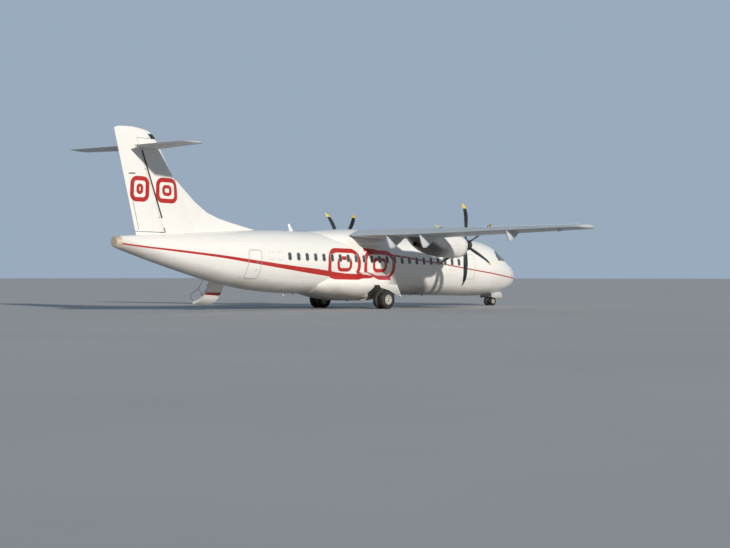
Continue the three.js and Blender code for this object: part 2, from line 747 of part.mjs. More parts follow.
function flapFairings(flap, y, half) {
  const hinge = wingMiddle(y, FLAP_HINGE_SHARE);
  const t = (y - flap.from) / (flap.to - flap.from);
  const low = flap.lowIn + t * (flap.lowOut - flap.lowIn);
  const start = wingMiddle(y, 0.48);
  const end = wingMiddle(y, 0.985);
  const mid = (hinge.s + start.s) / 2;
  const topFront = hinge.w;
  const front = loft([
    keelRing(start.s, y, start.w, start.w - start.half * 0.9, half * 0.5),
    keelRing(mid, y, topFront, (low + start.w - start.half) / 2 - 20, half),
    keelRing(hinge.s - 3, y, topFront - hinge.half * 0.6, low, half),
  ]);
  const lowest = low - 42;
  const rear = loft([
    keelRing(hinge.s + 3, y, hinge.w, low, half),
    keelRing(hinge.s + 0.36 * (end.s - hinge.s), y, hinge.w, lowest, half),
    keelRing(end.s, y, end.w, end.w - 18, half * 0.35),
  ]);
  const { boss, room } = flapBoss(flap, y);
  return { front: front.subtract(room), rear: rear.add(boss) };
}

// Small keel under the wing, ahead of the aileron's hinge
function aileronFairing() {
  const { y, half, drop } = AILERON_FAIRING;
  const [start, deep, end] = [0.46, 0.62, 0.72].map((share) => wingMiddle(y, share));
  return loft([
    keelRing(start.s, y, start.w, start.w - start.half * 0.9, half * 0.5),
    keelRing(deep.s, y, deep.w, deep.w - deep.half - drop * 0.7, half),
    keelRing(end.s, y, end.w, end.w - end.half - drop, half),
  ]);
}

// Tail

function foilRingFlat(leading, trailing, thickness, w) {
  const chord = trailing - leading;
  return foilPath(FIN_FOIL_STEPS).map(([share, side]) => {
    const half = foilHeight(share, thickness / chord, 0)[0] * chord;
    return point(leading + share * chord, side === 0 ? half : -half, w);
  });
}

const finBlank = () => loft(FIN.map(([w, leading, trailing, thickness]) =>
  foilRingFlat(leading, trailing, thickness, w)));

function dorsalFin() {
  return loft(DORSAL.map(([s, top, half]) => {
    const ridge = Math.min(half, 26);
    return [[-half, 900], [half, 900], [half, top - 3 * half], [ridge, top - 0.4 * ridge], [0, top],
      [-ridge, top - 0.4 * ridge], [-half, top - 3 * half]].map(([y, w]) => point(s, y, w));
  }));
}

const rudderLine = (w) => {
  const { low, high } = RUDDER_HINGE;
  return low[0] + ((w - low[1]) * (high[0] - low[0])) / (high[1] - low[1]);
};

function finHalf(w) {
  const [leading, trailing, thickness] = [1, 2, 3].map((column) => straight(FIN, column, w));
  const chord = trailing - leading;
  return foilHeight((rudderLine(w) - leading) / chord, thickness / chord, 0)[0] * chord;
}

// Everything aft of the rudder's round nose, between two heights
function rudderRoom(low, high, grow) {
  const { low: a, high: b } = RUDDER_HINGE;
  const stretch = Math.hypot(b[0] - a[0], b[1] - a[1]) / (b[1] - a[1]);
  return loft([low, 2500, 3430, high].map((w) => {
    const s = rudderLine(w);
    const nose = noseArc(finHalf(w) + grow, grow).map(([back, out]) => point(s + stretch * back, out, w));
    const front = s - stretch * grow;
    const { rudderReach, half } = SURFACE_BLOCK;
    return [point(s + rudderReach, half, w), point(front, half, w), ...nose, point(front, -half, w),
      point(s + rudderReach, -half, w)];
  }));
}

function stabiliserRing(y, grow) {
  const [leading, chord, thickness] = [1, 2, 3].map((column) => straight(STABILISER, column, Math.abs(y)));
  return foilPath(FIN_FOIL_STEPS).map(([share, side]) => {
    const half = foilHeight(share, thickness, 0)[0] * chord + (share > 0 ? grow : 0);
    const s = leading + share * chord + grow * (2 * share - 1);
    return point(s, y, STABILISER_HEIGHT + (side === 0 ? half : -half));
  });
}

function stabiliserBlank(grow = 0) {
  const outer = STABILISER.slice(1).map((row) => row[0]);
  return loft([...outer.map((y) => -y).reverse(), 0, ...outer].map((y) => stabiliserRing(y, grow)));
}

const elevatorLine = (y) => {
  const { inner, outer } = ELEVATOR_HINGE;
  return inner[1] + ((y - inner[0]) * (outer[1] - inner[1])) / (outer[0] - inner[0]);
};

// Half thickness of the stabiliser at the elevator's hinge line
function stabiliserHalf(y) {
  const [leading, chord, thickness] = [1, 2, 3].map((column) => straight(STABILISER, column, y));
  return foilHeight((elevatorLine(y) - leading) / chord, thickness, 0)[0] * chord;
}

function elevatorRoom(grow, inner) {
  const tip = STABILISER[1][0];
  return aftOfNose([inner, tip + PAST_TIP].map((y) => (
    { y, s: elevatorLine(y), w: STABILISER_HEIGHT, half: stabiliserHalf(Math.min(y, tip)) })), grow, 0);
}

// Space that the turning rudder needs behind the stabiliser
function rudderNotch() {
  const edge = RUDDER_ROOM.map(([s, y]) => [s, y]);
  const outline = [...edge, ...edge.slice().reverse().map(([s, y]) => [s, -y])];
  return loft([4300, 4900].map((w) => outline.map(([s, y]) => point(s, y, w))));
}

// Engines

function nacelleRing([s, top, bottom, half, wide]) {
  return oval(s, ENGINE_Y, top, bottom, half, wide, NACELLE_SIDES);
}

function intakeDuct() {
  const { s, depth, w, halfWidth, halfHeight } = INTAKE;
  return loft([s - 60, s + depth].map((at) =>
    oval(at, ENGINE_Y, w + halfHeight, w - halfHeight, halfWidth, w, 16)));
}

// Length of the exhaust stub between two shares of its run
function exhaustTube(grow, start, end) {
  const { from, fromHeight, to, toHeight, offset, halfWidth, halfHeight } = EXHAUST;
  return loft([start, end].map((t) => {
    const [s, w] = [from + t * (to - from), fromHeight + t * (toHeight - fromHeight)];
    const up = halfHeight + grow;
    return oval(s, ENGINE_Y + offset, w + up, w - up, halfWidth + grow, w, EXHAUST_SIDES);
  }));
}

function exhaustSolid() {
  const mouth = 1 - EXHAUST_BORE_DEPTH / (EXHAUST.to - EXHAUST.from);
  return exhaustTube(0, 0, 1).subtract(exhaustTube(-EXHAUST_WALL, mouth, PAST_MOUTH));
}

// One blade, its chord along the flight line, pointing up from the hub
function bladeSolid() {
  return loft(BLADE.map(([radius, chord, thickness, sweep, twist]) => {
    const turn = THREE.MathUtils.degToRad(twist);
    return turns(BLADE_SIDES).map((angle) => {
      const along = (Math.cos(angle) * chord) / 2;
      const across = (Math.sin(angle) * thickness) / 2;
      const s = along * Math.cos(turn) - across * Math.sin(turn) + sweep;
      return new THREE.Vector3(-s, along * Math.sin(turn) + across * Math.cos(turn), radius);
    });
  }));
}

function alongAxis(profile, segments) {
  const points = profile.map(([x, radius]) => new THREE.Vector2(radius, x));
  const geometry = new THREE.LatheGeometry(points, segments);
  geometry.rotateZ(-Math.PI / 2);
  return solidOf(geometry);
}

function propellerSolid(startTurn, side) {
  const shaftEnd = PROP_STATION - NACELLE[0][0] + SEAT;
  const hub = alongAxis([
    [shaftEnd, 0], [shaftEnd, SHAFT_RADIUS],
    [PROP_STATION - HUB_REAR, SHAFT_RADIUS], [PROP_STATION - HUB_REAR, HUB_RADIUS],
    [PROP_STATION - HUB_FRONT - SEAT, HUB_RADIUS - 12], [PROP_STATION - HUB_FRONT - SEAT, 0],
  ], HUB_SIDES);
  const blade = bladeSolid();
  const blades = Array.from({ length: BLADE_COUNT }, (_, i) =>
    blade.rotate([side * (startTurn + (360 * i) / BLADE_COUNT), 0, 0]));
  return join([hub, ...blades]);
}

function spinnerSolid() {
  const length = HUB_FRONT - SPINNER_TIP;
  const base = PROP_STATION - HUB_FRONT;
  const steps = 5;
  const nose = Array.from({ length: steps + 1 }, (_, i) => {
    const t = i / steps;
    return [base + length * t, (HUB_RADIUS - 12) * (1 - t ** 2.1) ** 0.62];
  });
  return alongAxis([[base, 0], ...nose], HUB_SIDES);
}

// Wheels

// Ring around the Y axis whose facets stand level on the ground
function ringSolid(profile) {
  const firstEdge = Math.PI / WHEEL_SEGMENTS - NOSE_DOWN;
  const outline = profile.map(([y, radius]) => new THREE.Vector2(radius, y));
  return solidOf(new THREE.LatheGeometry(outline, WHEEL_SEGMENTS, firstEdge));
}

// Tyre from its inner bead over the tread and back; the middle of each facet lies at its radius
function tyreSolid({ radius, width, rim }) {
  const half = width / 2;
  const wall = radius / Math.cos(Math.PI / WHEEL_SEGMENTS) - rim;
  const outer = [[0.66, 0], [1, 0.45], [0.86, 0.86], [0.45, 1]];
  const side = outer.map(([across, up]) => [across * half, rim + up * wall]);
  const other = side.slice().reverse().map(([y, r]) => [-y, r]);
  return ringSolid([...side, ...other, side[0]].reverse());
}

// Wheel dished on its outer side, with a bore for the axle
function rimSolid({ width, rim }, axleRadius) {
  const [seat, bore] = [rim - RIM_CLEARANCE, axleRadius + AXLE_CLEARANCE];
  const edge = width * 0.3;
  const dish = width * 0.12;
  const profile = [
    [edge, bore], [edge, bore * 1.9], [dish, bore * 2.3], [dish, seat * 0.8],
    [edge, seat], [-edge, seat], [-edge, bore],
  ];
  return ringSolid([...profile, profile[0]].reverse());
}

// Moving groups

const airframe = new THREE.Group();
airframe.rotation.y = NOSE_DOWN;

// Group that turns about the line from one point towards another; limits in degrees
function turning(name, from, towards, limits, parent = airframe) {
  const group = new THREE.Group();
  group.name = name;
  const origin = parent === airframe ? new THREE.Vector3() : parent.userData.origin;
  group.position.copy(from).sub(origin);
  group.userData.origin = from;
  group.userData.axis = towards.clone().sub(from).normalize();
  group.userData.limits = limits;
  parent.add(group);
  return group;
}

function place(name, finish, solid, parent = airframe) {
  const geometry = geometryOf(solid);
  if (parent !== airframe) {
    const { x, y, z } = parent.userData.origin;
    geometry.translate(-x, -y, -z);
  }
  const mesh = new THREE.Mesh(geometry, materials[finish]);
  mesh.name = name;
  parent.add(mesh);
}

const sides = [['left', 1, (solid) => solid], ['right', -1, mirrored]];
const toSide = (side, v) => new THREE.Vector3(v.x, side * v.y, v.z);

// Assembly

const stairHingeY = halfWidthAt(AIRSTAIR.from, AIRSTAIR.sill);
const cargoHingeY = halfWidthAt(CARGO_DOOR.to, CARGO_DOOR.head);

function addFuselage() {
  place('radome', 'radome_paint', hullSection(0, RADOME_END));
  place('nose_section', 'white_paint', noseSection());
  place('flight_deck_glazing', 'glazing', glazingSolid());
  place('cargo_section', 'white_paint', cut(hullSection(NOSE_END, CARGO_END), [
    doorPrism(CARGO_DOOR, DOOR_GAP, VESTIBULE_WALL),
    ...doorBosses(CARGO_DOOR, cargoHingeY, CARGO_DOOR.head).map(({ room }) => room),
  ]));
  place('cabin_section', 'white_paint', hullSection(CARGO_END, CABIN_END).subtract(wingBlank(SEAT)));
  const entry = join([hullSection(CABIN_END, ENTRY_END), ...sillBrackets(AIRSTAIR, stairHingeY)]);
  place('entry_section', 'white_paint', cut(entry, [
    doorPrism(AIRSTAIR, DOOR_GAP, VESTIBULE_WALL),
    ...doorBosses(AIRSTAIR, stairHingeY, AIRSTAIR.sill).map(({ room }) => room),
    doorPrism(SERVICE_DOOR, DOOR_GAP, 500)
      .subtract(hull(CABIN_END - 400, ENTRY_END + 400, -SERVICE_DOOR.depth)),
  ]));
  const tailRoom = hull(ENTRY_END - 200, TAIL_ROOM_END, -TAIL_WALL);
  place('tail_section', 'white_paint', hullSection(ENTRY_END, CONE_END).subtract(tailRoom));
  place('tail_cap', 'tail_metal', hull(CONE_END + SEAT / 2, TAIL_END));
  const shell = hull(CABIN_END + 50, ENTRY_END - 50)
    .subtract(hull(CABIN_END - 400, ENTRY_END + 400, SEAT - SERVICE_DOOR.depth));
  place('service_door', 'white_paint', shell.intersect(doorPrism(SERVICE_DOOR, 0, 500)));
}

function noseSection() {
  const { from, to, half, ceiling } = NOSE_BAY;
  const glassRoom = sidePrism(GLAZING_OUTLINE, -1600, 1600)
    .subtract(hull(RADOME_END - 200, NOSE_END + 200, -GLASS_INSET - GLASS_DEPTH));
  const pad = bar(point(NOSE_PAD.s, 0, NOSE_PAD.root), point(NOSE_PAD.s, 0, NOSE_PAD.w), NOSE_PAD.radius);
  const bay = box(from, to, -half, half, BELOW_BELLY, ceiling);
  return cut(hullSection(RADOME_END, NOSE_END).add(pad), [glassRoom, bay]);
}

function glazingSolid() {
  const shrink = 6;
  const middle = [2100, 700];
  const outline = GLAZING_OUTLINE.map(([s, w]) => {
    const reach = Math.hypot(s - middle[0], w - middle[1]);
    return [s + ((middle[0] - s) * shrink) / reach, w + ((middle[1] - w) * shrink) / reach];
  });
  return hull(RADOME_END, NOSE_END, -GLASS_INSET)
    .subtract(hull(RADOME_END - 200, NOSE_END + 200, SEAT - GLASS_INSET - GLASS_DEPTH))
    .intersect(sidePrism(outline, -1600, 1600));
}

function addDoors() {
  const stair = turning('airstair_door', point(AIRSTAIR.to, stairHingeY, AIRSTAIR.sill),
    point(AIRSTAIR.to + 100, stairHingeY, AIRSTAIR.sill), [-AIRSTAIR_TRAVEL, 0]);
  stair.quaternion.setFromAxisAngle(stair.userData.axis, THREE.MathUtils.degToRad(AIRSTAIR_TRAVEL));
  place('airstair_door', 'white_paint', airstairSolid(stairHingeY), stair);
  const cargo = turning('cargo_door', point(CARGO_DOOR.to, cargoHingeY, CARGO_DOOR.head),
    point(CARGO_DOOR.to - 100, cargoHingeY, CARGO_DOOR.head), [0, CARGO_DOOR_TRAVEL]);
  place('cargo_door', 'white_paint', cargoDoorSolid(cargoHingeY), cargo);
}

function addWing() {
  const blank = wingBlank();
  const flaps = [['flap_inboard', INNER_FLAP, INNER_FAIRINGS], ['flap_outboard', OUTER_FLAP, OUTER_FAIRINGS]];
  const fronts = [];
  const rooms = [];
  flaps.forEach(([name, flap, fairings]) => {
    const ends = surfaceEnds(flap, FLAP_HINGE_SHARE);
    const keels = fairings.map(([y, half]) => flapFairings(flap, y, half));
    const solid = join([blank.intersect(aftOfNose(ends, 0, 0)), ...keels.map(({ rear }) => rear)]);
    fronts.push(...keels.map(({ front }) => front));
    rooms.push(aftOfNose(ends, COVE_GAP, FLAP_END_GAP));
    const [inner, outer] = flapHinge(flap);
    sides.forEach(([side, sign, flip]) => {
      const [from, towards] = [toSide(sign, inner), toSide(sign, outer)];
      const line = sign > 0 ? [from, towards] : [towards, from];
      const group = turning(`${name}_${side}`, line[0], line[1], [-FLAP_TRAVEL, 0]);
      place(`${name}_${side}`, 'wing_paint', flip(solid), group);
    });
  });
  const ends = surfaceEnds(AILERON, AILERON_HINGE_SHARE);
  const [from, to] = ends.map(({ s, y, w }) => point(s, y, w));
  const lugs = AILERON_FITTINGS.map((y) => hingeFitting(from.clone().lerp(to, (y - from.y) / (to.y - from.y)),
    to.clone().sub(from).normalize(), wingMiddle(y, AILERON_HINGE_SHARE).half));
  const aileron = fitted(blank.intersect(aftOfNose(ends, 0, 0)), lugs);
  rooms.push(aftOfNose(ends, COVE_GAP, AILERON_END_GAP));
  sides.forEach(([side, sign, flip]) => {
    const line = ends.map(({ s, y, w }) => point(s, sign * y, w));
    const group = turning(`aileron_${side}`, ...(sign > 0 ? line : line.reverse()),
      [-AILERON_TRAVEL, AILERON_TRAVEL]);
    place(`aileron_${side}`, 'wing_paint', flip(aileron), group);
  });
  fronts.push(aileronFairing());
  const starboard = [...fronts, ...rooms].map(mirrored);
  const keels = [...fronts, ...starboard.slice(0, fronts.length)];
  const gaps = [...rooms, ...starboard.slice(fronts.length)];
  const held = lugs.flatMap(({ lug }) => [lug, mirrored(lug)]);
  place('wing', 'wing_paint', join([cut(join([blank, ...keels]), gaps), ...held]));
}

function addFairings() {
  const skin = hull(10000, 16400, SEAT);
  const hump = loft(Array.from({ length: HUMP_RINGS }, (_, i) => {
    const s = ROOT_FAIRING[0][0] + (i * (ROOT_FAIRING.at(-1)[0] - ROOT_FAIRING[0][0])) / (HUMP_RINGS - 1);
    return oval(s, 0, smooth(ROOT_FAIRING, 1, s), 500, smooth(ROOT_FAIRING, 2, s), 1000, HUMP_SIDES);
  }));
  place('wing_root_fairing', 'white_paint', cut(hump, [skin, wingBlank(SEAT)]));
  const belly = loft(Array.from({ length: SPONSON_RINGS }, (_, i) => {
    const s = SPONSON[0][0] + (i * (SPONSON.at(-1)[0] - SPONSON[0][0])) / (SPONSON_RINGS - 1);
    return sponsonRing(s, smooth(SPONSON, 1, s), smooth(SPONSON, 2, s));
  }));
  const { from, to, inner, outer, ceiling, lip, mouth } = WELL;
  const arch = sidePrism(
    [[from, BELOW_BELLY], [ARCH.foot, BELOW_BELLY], [ARCH.head, lip], [from, lip]], ARCH.inner, mouth);
  const well = join([box(from, to, inner, outer, BELOW_BELLY, ceiling),
    box(from, to, inner, mouth, BELOW_BELLY, lip), arch]);
  const pads = sides.map(([, sign]) => bar(point(JACK_PAD.s, sign * JACK_PAD.y, JACK_PAD.root),
    point(JACK_PAD.s, sign * JACK_PAD.y, JACK_PAD.w), JACK_PAD.radius));
  place('belly_fairing', 'belly_paint', cut(join([belly, ...pads]), [skin, well, mirrored(well)]));
}

// Flat-bottomed section that bulges outwards at the waist
function sponsonRing(s, half, bottom) {
  return turns(SPONSON_SIDES).map((angle) => {
    const [across, up] = [Math.sin(angle), Math.cos(angle)];
    const flat = 0.62;
    const y = half * Math.sign(across) * Math.abs(across) ** flat;
    const reach = up > 0 ? SPONSON_TOP - SPONSON_WAIST : SPONSON_WAIST - bottom;
    return point(s, y, SPONSON_WAIST + reach * Math.sign(up) * Math.abs(up) ** (up > 0 ? 1 : 0.8));
  });
}

function addEngines() {
  const stub = exhaustTube(SEAT, -0.01, 1.1);
  const shell = cut(loft(NACELLE.map(nacelleRing)), [wingBlank(SEAT), intakeDuct(), stub]);
  const exhaust = exhaustSolid().subtract(wingBlank(SEAT));
  sides.forEach(([side, sign, flip]) => {
    place(`nacelle_${side}`, 'white_paint', flip(shell));
    place(`exhaust_${side}`, 'exhaust_metal', flip(exhaust));
    const hub = point(PROP_STATION, sign * ENGINE_Y, PROP_HEIGHT);
    const group = turning(`propeller_${side}`, hub, hub.clone().add(new THREE.Vector3(1, 0, 0)), null);
    const turn = sign > 0 ? -LEFT_PROP_TURN : RIGHT_PROP_TURN;
    const centre = [hub.x, hub.y, hub.z];
    place(`propeller_${side}`, 'blade_composite', propellerSolid(turn, 1).translate(centre), group);
    place(`spinner_${side}`, 'spinner_paint', spinnerSolid().translate(centre), group);
  });
}

function addTail() {
  const blank = join([finBlank(), dorsalFin()]);
  const { from, to, half, top } = ABOVE_FIN;
  const allAbove = (w) => box(from, to, -half, half, w, top);
  const skin = hull(18000, CONE_END, SEAT);
  const line = [RUDDER_BOTTOM, RUDDER_HINGE.high[1]].map((w) => point(rudderLine(w), 0, w));
  const upwards = line[1].clone().sub(line[0]).normalize();
  const lugs = RUDDER_FITTINGS.map((w) => hingeFitting(point(rudderLine(w), 0, w), upwards, finHalf(w)));
  const fin = cut(blank, [
    rudderRoom(RUDDER_BOTTOM - RUDDER_END_GAP, HORN_BOTTOM, RUDDER_GAP),
    allAbove(HORN_BOTTOM - 18),
    stabiliserBlank(SEAT),
    skin,
  ]);
  place('fin', 'white_paint', join([fin, ...lugs.map(({ lug }) => lug)]));
  const behind = rudderRoom(RUDDER_BOTTOM, HORN_BOTTOM, 0).add(allAbove(HORN_BOTTOM));
  const rudder = fitted(blank.intersect(behind), lugs);
  const travel = [-RUDDER_TRAVEL, RUDDER_TRAVEL];
  place('rudder', 'white_paint', rudder, turning('rudder', line[0], line[1], travel));

  const plane = stabiliserBlank();
  const room = elevatorRoom(COVE_GAP, ELEVATOR_INNER_END - 20);
  const [inner, outer] = [0, 1].map((y) => point(elevatorLine(y), y, STABILISER_HEIGHT));
  const outwards = outer.clone().sub(inner).normalize();
  const held = ELEVATOR_FITTINGS.map((y) =>
    hingeFitting(point(elevatorLine(y), y, STABILISER_HEIGHT), outwards, stabiliserHalf(y)));
  place('stabiliser', 'wing_paint', join([cut(plane, [rudderNotch(), room, mirrored(room)]),
    ...held.flatMap(({ lug }) => [lug, mirrored(lug)])]));
  const elevator = fitted(plane.intersect(elevatorRoom(0, ELEVATOR_INNER_END)).subtract(rudderNotch()), held);
  sides.forEach(([side, sign, flip]) => {
    const ends = [ELEVATOR_INNER_END, 3655].map((y) => point(elevatorLine(y), sign * y, STABILISER_HEIGHT));
    const group = turning(`elevator_${side}`, ...(sign > 0 ? ends : ends.reverse()),
      [-ELEVATOR_DOWN, ELEVATOR_UP]);
    place(`elevator_${side}`, 'wing_paint', flip(elevator), group);
  });
}

const knee = point(KNEE.s, KNEE.y, KNEE.w);

// Distance of the post's middle from the centre line at a height
const legY = (w) => KNEE.y + ((w - KNEE.w) * (TRUNNION.y - KNEE.y)) / (TRUNNION.w - KNEE.w);

function mainPost(grow) {
  return bar(point(KNEE.s + 60, TRUNNION.y, TRUNNION.w), knee, LEG_RADIUS + 14 + grow, LEG_RADIUS + grow);
}

function mainLegSolid(axleHeight) {
  const { y, w, radius } = TRUNNION;
  const axle = point(MAIN_AXLE.s, MAIN_AXLE.y, axleHeight);
  const shockFoot = axle.clone().lerp(knee, 0.45);
  const shockHead = point(SHOCK.s, SHOCK.y, SHOCK.topHeight);
  const halfAxle = MAIN_TYRE.spacing / 2 + MAIN_TYRE.width * 0.3;
  const across = (from, y) => from.clone().add(new THREE.Vector3(0, y, 0));
  return join([
    bar(point(WELL.from + SEAT, y, w), point(WELL.to - SEAT, y, w), radius),
    mainPost(0),
    bar(across(knee, -LEG_RADIUS), across(knee, 62), LEG_RADIUS + 4),
    bar(knee, axle, ARM_RADIUS),
    bar(across(axle, -halfAxle), across(axle, halfAxle), MAIN_AXLE_RADIUS),
    bar(shockFoot, shockHead, SHOCK.radius * 0.7, SHOCK.radius),
    bar(point(KNEE.s + 45, legY(-1050), -1050), shockHead, 44, 40),
  ]);
}

// Slanted plate that hangs from the leg beside the wheels
function gearDoorSolid() {
  const yAt = (w) => GEAR_DOOR_TOP_Y + (GEAR_DOOR_OUTLINE[0][1] - w) * GEAR_DOOR_LEAN;
  const plate = loft([0, GEAR_DOOR_THICKNESS].map((out) =>
    GEAR_DOOR_OUTLINE.map(([s, w]) => point(s, yAt(w) + out, w))));
  const stays = [-1180, -1330].map((w) =>
    bar(point(KNEE.s + 10, legY(w), w), point(KNEE.s + 10, yAt(w) + GEAR_DOOR_THICKNESS / 2, w), 20));
  return cut(join([plate, ...stays]), [mainPost(SEAT)]);
}

function addMainGear() {
  const axleHeight = heightFromGround(MAIN_AXLE.s, MAIN_TYRE.radius);
  const leg = mainLegSolid(axleHeight);
  const outerDoor = gearDoorSolid();
  sides.forEach(([side, sign, flip]) => {
    place(`main_leg_${side}`, 'gear_steel', flip(leg));
    place(`main_gear_door_${side}`, 'white_paint', flip(outerDoor));
    const axle = point(MAIN_AXLE.s, sign * MAIN_AXLE.y, axleHeight);
    const group = turning(`main_wheels_${side}`, axle, axle.clone().add(new THREE.Vector3(0, 1, 0)), null);
    addWheels(`main`, side, MAIN_TYRE, MAIN_AXLE_RADIUS, axle, group);
  });
}

function addWheels(name, side, tyre, axleRadius, axle, group) {
  const centre = [axle.x, axle.y, axle.z];
  const ending = side ? `_${side}` : '';
  [['a', 1], ['b', -1]].forEach(([mark, sign]) => {
    const shift = [centre[0], centre[1] + (sign * tyre.spacing) / 2, centre[2]];
    const facing = sign > 0 ? rimSolid(tyre, axleRadius) : mirrored(rimSolid(tyre, axleRadius));
    place(`${name}_rim${ending}_${mark}`, 'wheel_paint', facing.translate(shift), group);
    place(`${name}_tyre${ending}_${mark}`, 'tyre_rubber', tyreSolid(tyre).translate(shift), group);
  });
}

function addNoseGear() {
  const { ceiling } = NOSE_BAY;
  const s = NOSE_AXLE_STATION;
  const axleHeight = heightFromGround(s, NOSE_TYRE.radius);
  place('nose_leg', 'gear_steel', join([
    bar(point(s, 0, ceiling - SEAT), point(s, 0, NOSE_LEG_END), NOSE_LEG_RADIUS),
    bar(point(s + 330, 0, ceiling - SEAT - 40), point(s, 0, NOSE_LEG_END + 90), 30),
  ]));
  const top = point(s, 0, NOSE_LEG_END - SEAT);
  const steering = turning('nose_steering', top, top.clone().add(new THREE.Vector3(0, 0, 1)),
    [-STEERING_TRAVEL, STEERING_TRAVEL]);
  const half = NOSE_TYRE.spacing / 2 + NOSE_TYRE.width * 0.3;
  place('nose_fork', 'gear_steel', join([
    bar(top, point(s, 0, axleHeight), NOSE_PISTON_RADIUS),
    bar(point(s, -half, axleHeight), point(s, half, axleHeight), NOSE_AXLE_RADIUS),
  ]), steering);
  const axle = point(s, 0, axleHeight);
  const wheels = turning('nose_wheels', axle, axle.clone().add(new THREE.Vector3(0, 1, 0)), null, steering);
  addWheels('nose', '', NOSE_TYRE, NOSE_AXLE_RADIUS, axle, wheels);
  const { from, to, top: high, bottom, topY, bottomY, thickness } = NOSE_DOOR;
  const plate = loft([from, to].map((at) => [
    point(at, topY, high), point(at, topY + thickness, high),
    point(at, bottomY + thickness, bottom), point(at, bottomY, bottom),
  ]));
  const door = plate.subtract(hull(RADOME_END, NOSE_END, SEAT));
  sides.forEach(([side, , flip]) => place(`nose_gear_door_${side}`, 'white_paint', flip(door)));
}

addFuselage();
addDoors();
addWing();
addFairings();
addEngines();
addTail();
addMainGear();
addNoseGear();

// The tyres stand on the ground, and the middle of the whole length is at x = 0
const aircraft = new THREE.Group();
aircraft.name = 'turboprop_airliner';
aircraft.add(airframe);
airframe.position.z = AXIS_HEIGHT;
const bounds = new THREE.Box3().setFromObject(aircraft, true);
airframe.position.x = -(bounds.min.x + bounds.max.x) / 2;

export default aircraft;
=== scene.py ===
"""Looks of a twin-turboprop airliner that stands on its landing gear with its airstair down.

Sizes are millimetres in the airframe's own frame: stations run aft from the nose tip, y runs to port
and heights run up from the fuselage axis. Finished meshes are in metres in the row frame.
"""

import json
import logging
import math
from collections.abc import Sequence
from dataclasses import dataclass, field
from enum import Enum
from functools import reduce

import bmesh
import bpy
import numpy as np
from mathutils import Matrix, Vector


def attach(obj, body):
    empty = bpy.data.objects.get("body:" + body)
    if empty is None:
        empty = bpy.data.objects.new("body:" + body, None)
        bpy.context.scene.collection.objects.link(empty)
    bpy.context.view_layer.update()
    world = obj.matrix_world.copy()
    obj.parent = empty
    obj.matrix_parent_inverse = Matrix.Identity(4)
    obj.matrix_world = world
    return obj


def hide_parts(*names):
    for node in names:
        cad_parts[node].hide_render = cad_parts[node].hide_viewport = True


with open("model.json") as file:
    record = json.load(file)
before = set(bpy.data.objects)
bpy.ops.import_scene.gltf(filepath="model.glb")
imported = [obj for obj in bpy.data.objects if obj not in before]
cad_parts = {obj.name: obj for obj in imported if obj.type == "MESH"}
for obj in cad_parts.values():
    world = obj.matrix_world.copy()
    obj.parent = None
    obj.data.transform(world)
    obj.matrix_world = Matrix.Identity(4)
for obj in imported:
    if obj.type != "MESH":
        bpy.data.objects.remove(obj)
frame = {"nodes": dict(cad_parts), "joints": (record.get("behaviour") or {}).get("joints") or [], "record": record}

LOG = logging.getLogger("airliner")
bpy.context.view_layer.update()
Row = tuple[float, ...]
Vec = tuple[float, float, float]
Pair = tuple[float, float]
Outline = Sequence[Pair]
Socket = bpy.types.NodeSocket
AXIS = 0.001  # radius in millimetres that stands for the axis in a turned profile
MM = 1000


class Side(Enum):
    """The two sides of the aircraft, with the sign of their y."""

    LEFT = 1
    RIGHT = -1

    @property
    def word(self) -> str:
        """Name of the side in body and node names."""
        return self.name.lower()


# Frame and curves


@dataclass(frozen=True)
class Airframe:
    """Where the airframe stands in the row frame."""

    mid_station: float = 13583.0
    axis_height: float = 2115.0
    nose_down: float = math.radians(0.908)

    @property
    def shift(self) -> float:
        """Offset of the mid station from the middle of the length, read from a propeller's joint."""
        hub = next(j for j in frame["joints"] if j["name"] == "propeller_left_turn")["pos_m"]
        ahead, up = self.mid_station - PROP_STATION, PROP_HEIGHT
        return hub[0] * MM - ahead * math.cos(self.nose_down) - up * math.sin(self.nose_down)

    def to_row(self, points: np.ndarray) -> np.ndarray:
        """Row-frame metres of points given as station, y and height.

        Args:
            points: Array of shape (n, 3) in millimetres.

        Returns:
            Array of shape (n, 3) in metres.
        """
        ahead, up = self.mid_station - points[:, 0], points[:, 2]
        c, s = math.cos(self.nose_down), math.sin(self.nose_down)
        x = self.shift + ahead * c + up * s
        z = self.axis_height + up * c - ahead * s
        return np.stack([x, points[:, 1], z], axis=1) / MM

    def from_row(self, points: np.ndarray) -> np.ndarray:
        """Stations, y and heights in millimetres of row-frame points in metres."""
        mm = points * MM
        c, s = math.cos(self.nose_down), math.sin(self.nose_down)
        x, z = mm[:, 0] - self.shift, mm[:, 2] - self.axis_height
        ahead, up = x * c - z * s, x * s + z * c
        return np.stack([self.mid_station - ahead, mm[:, 1], up], axis=1)


PROP_STATION = 8985.0
PROP_HEIGHT = 973.0
ENGINE_Y = 4050.0
AIRFRAME = Airframe()


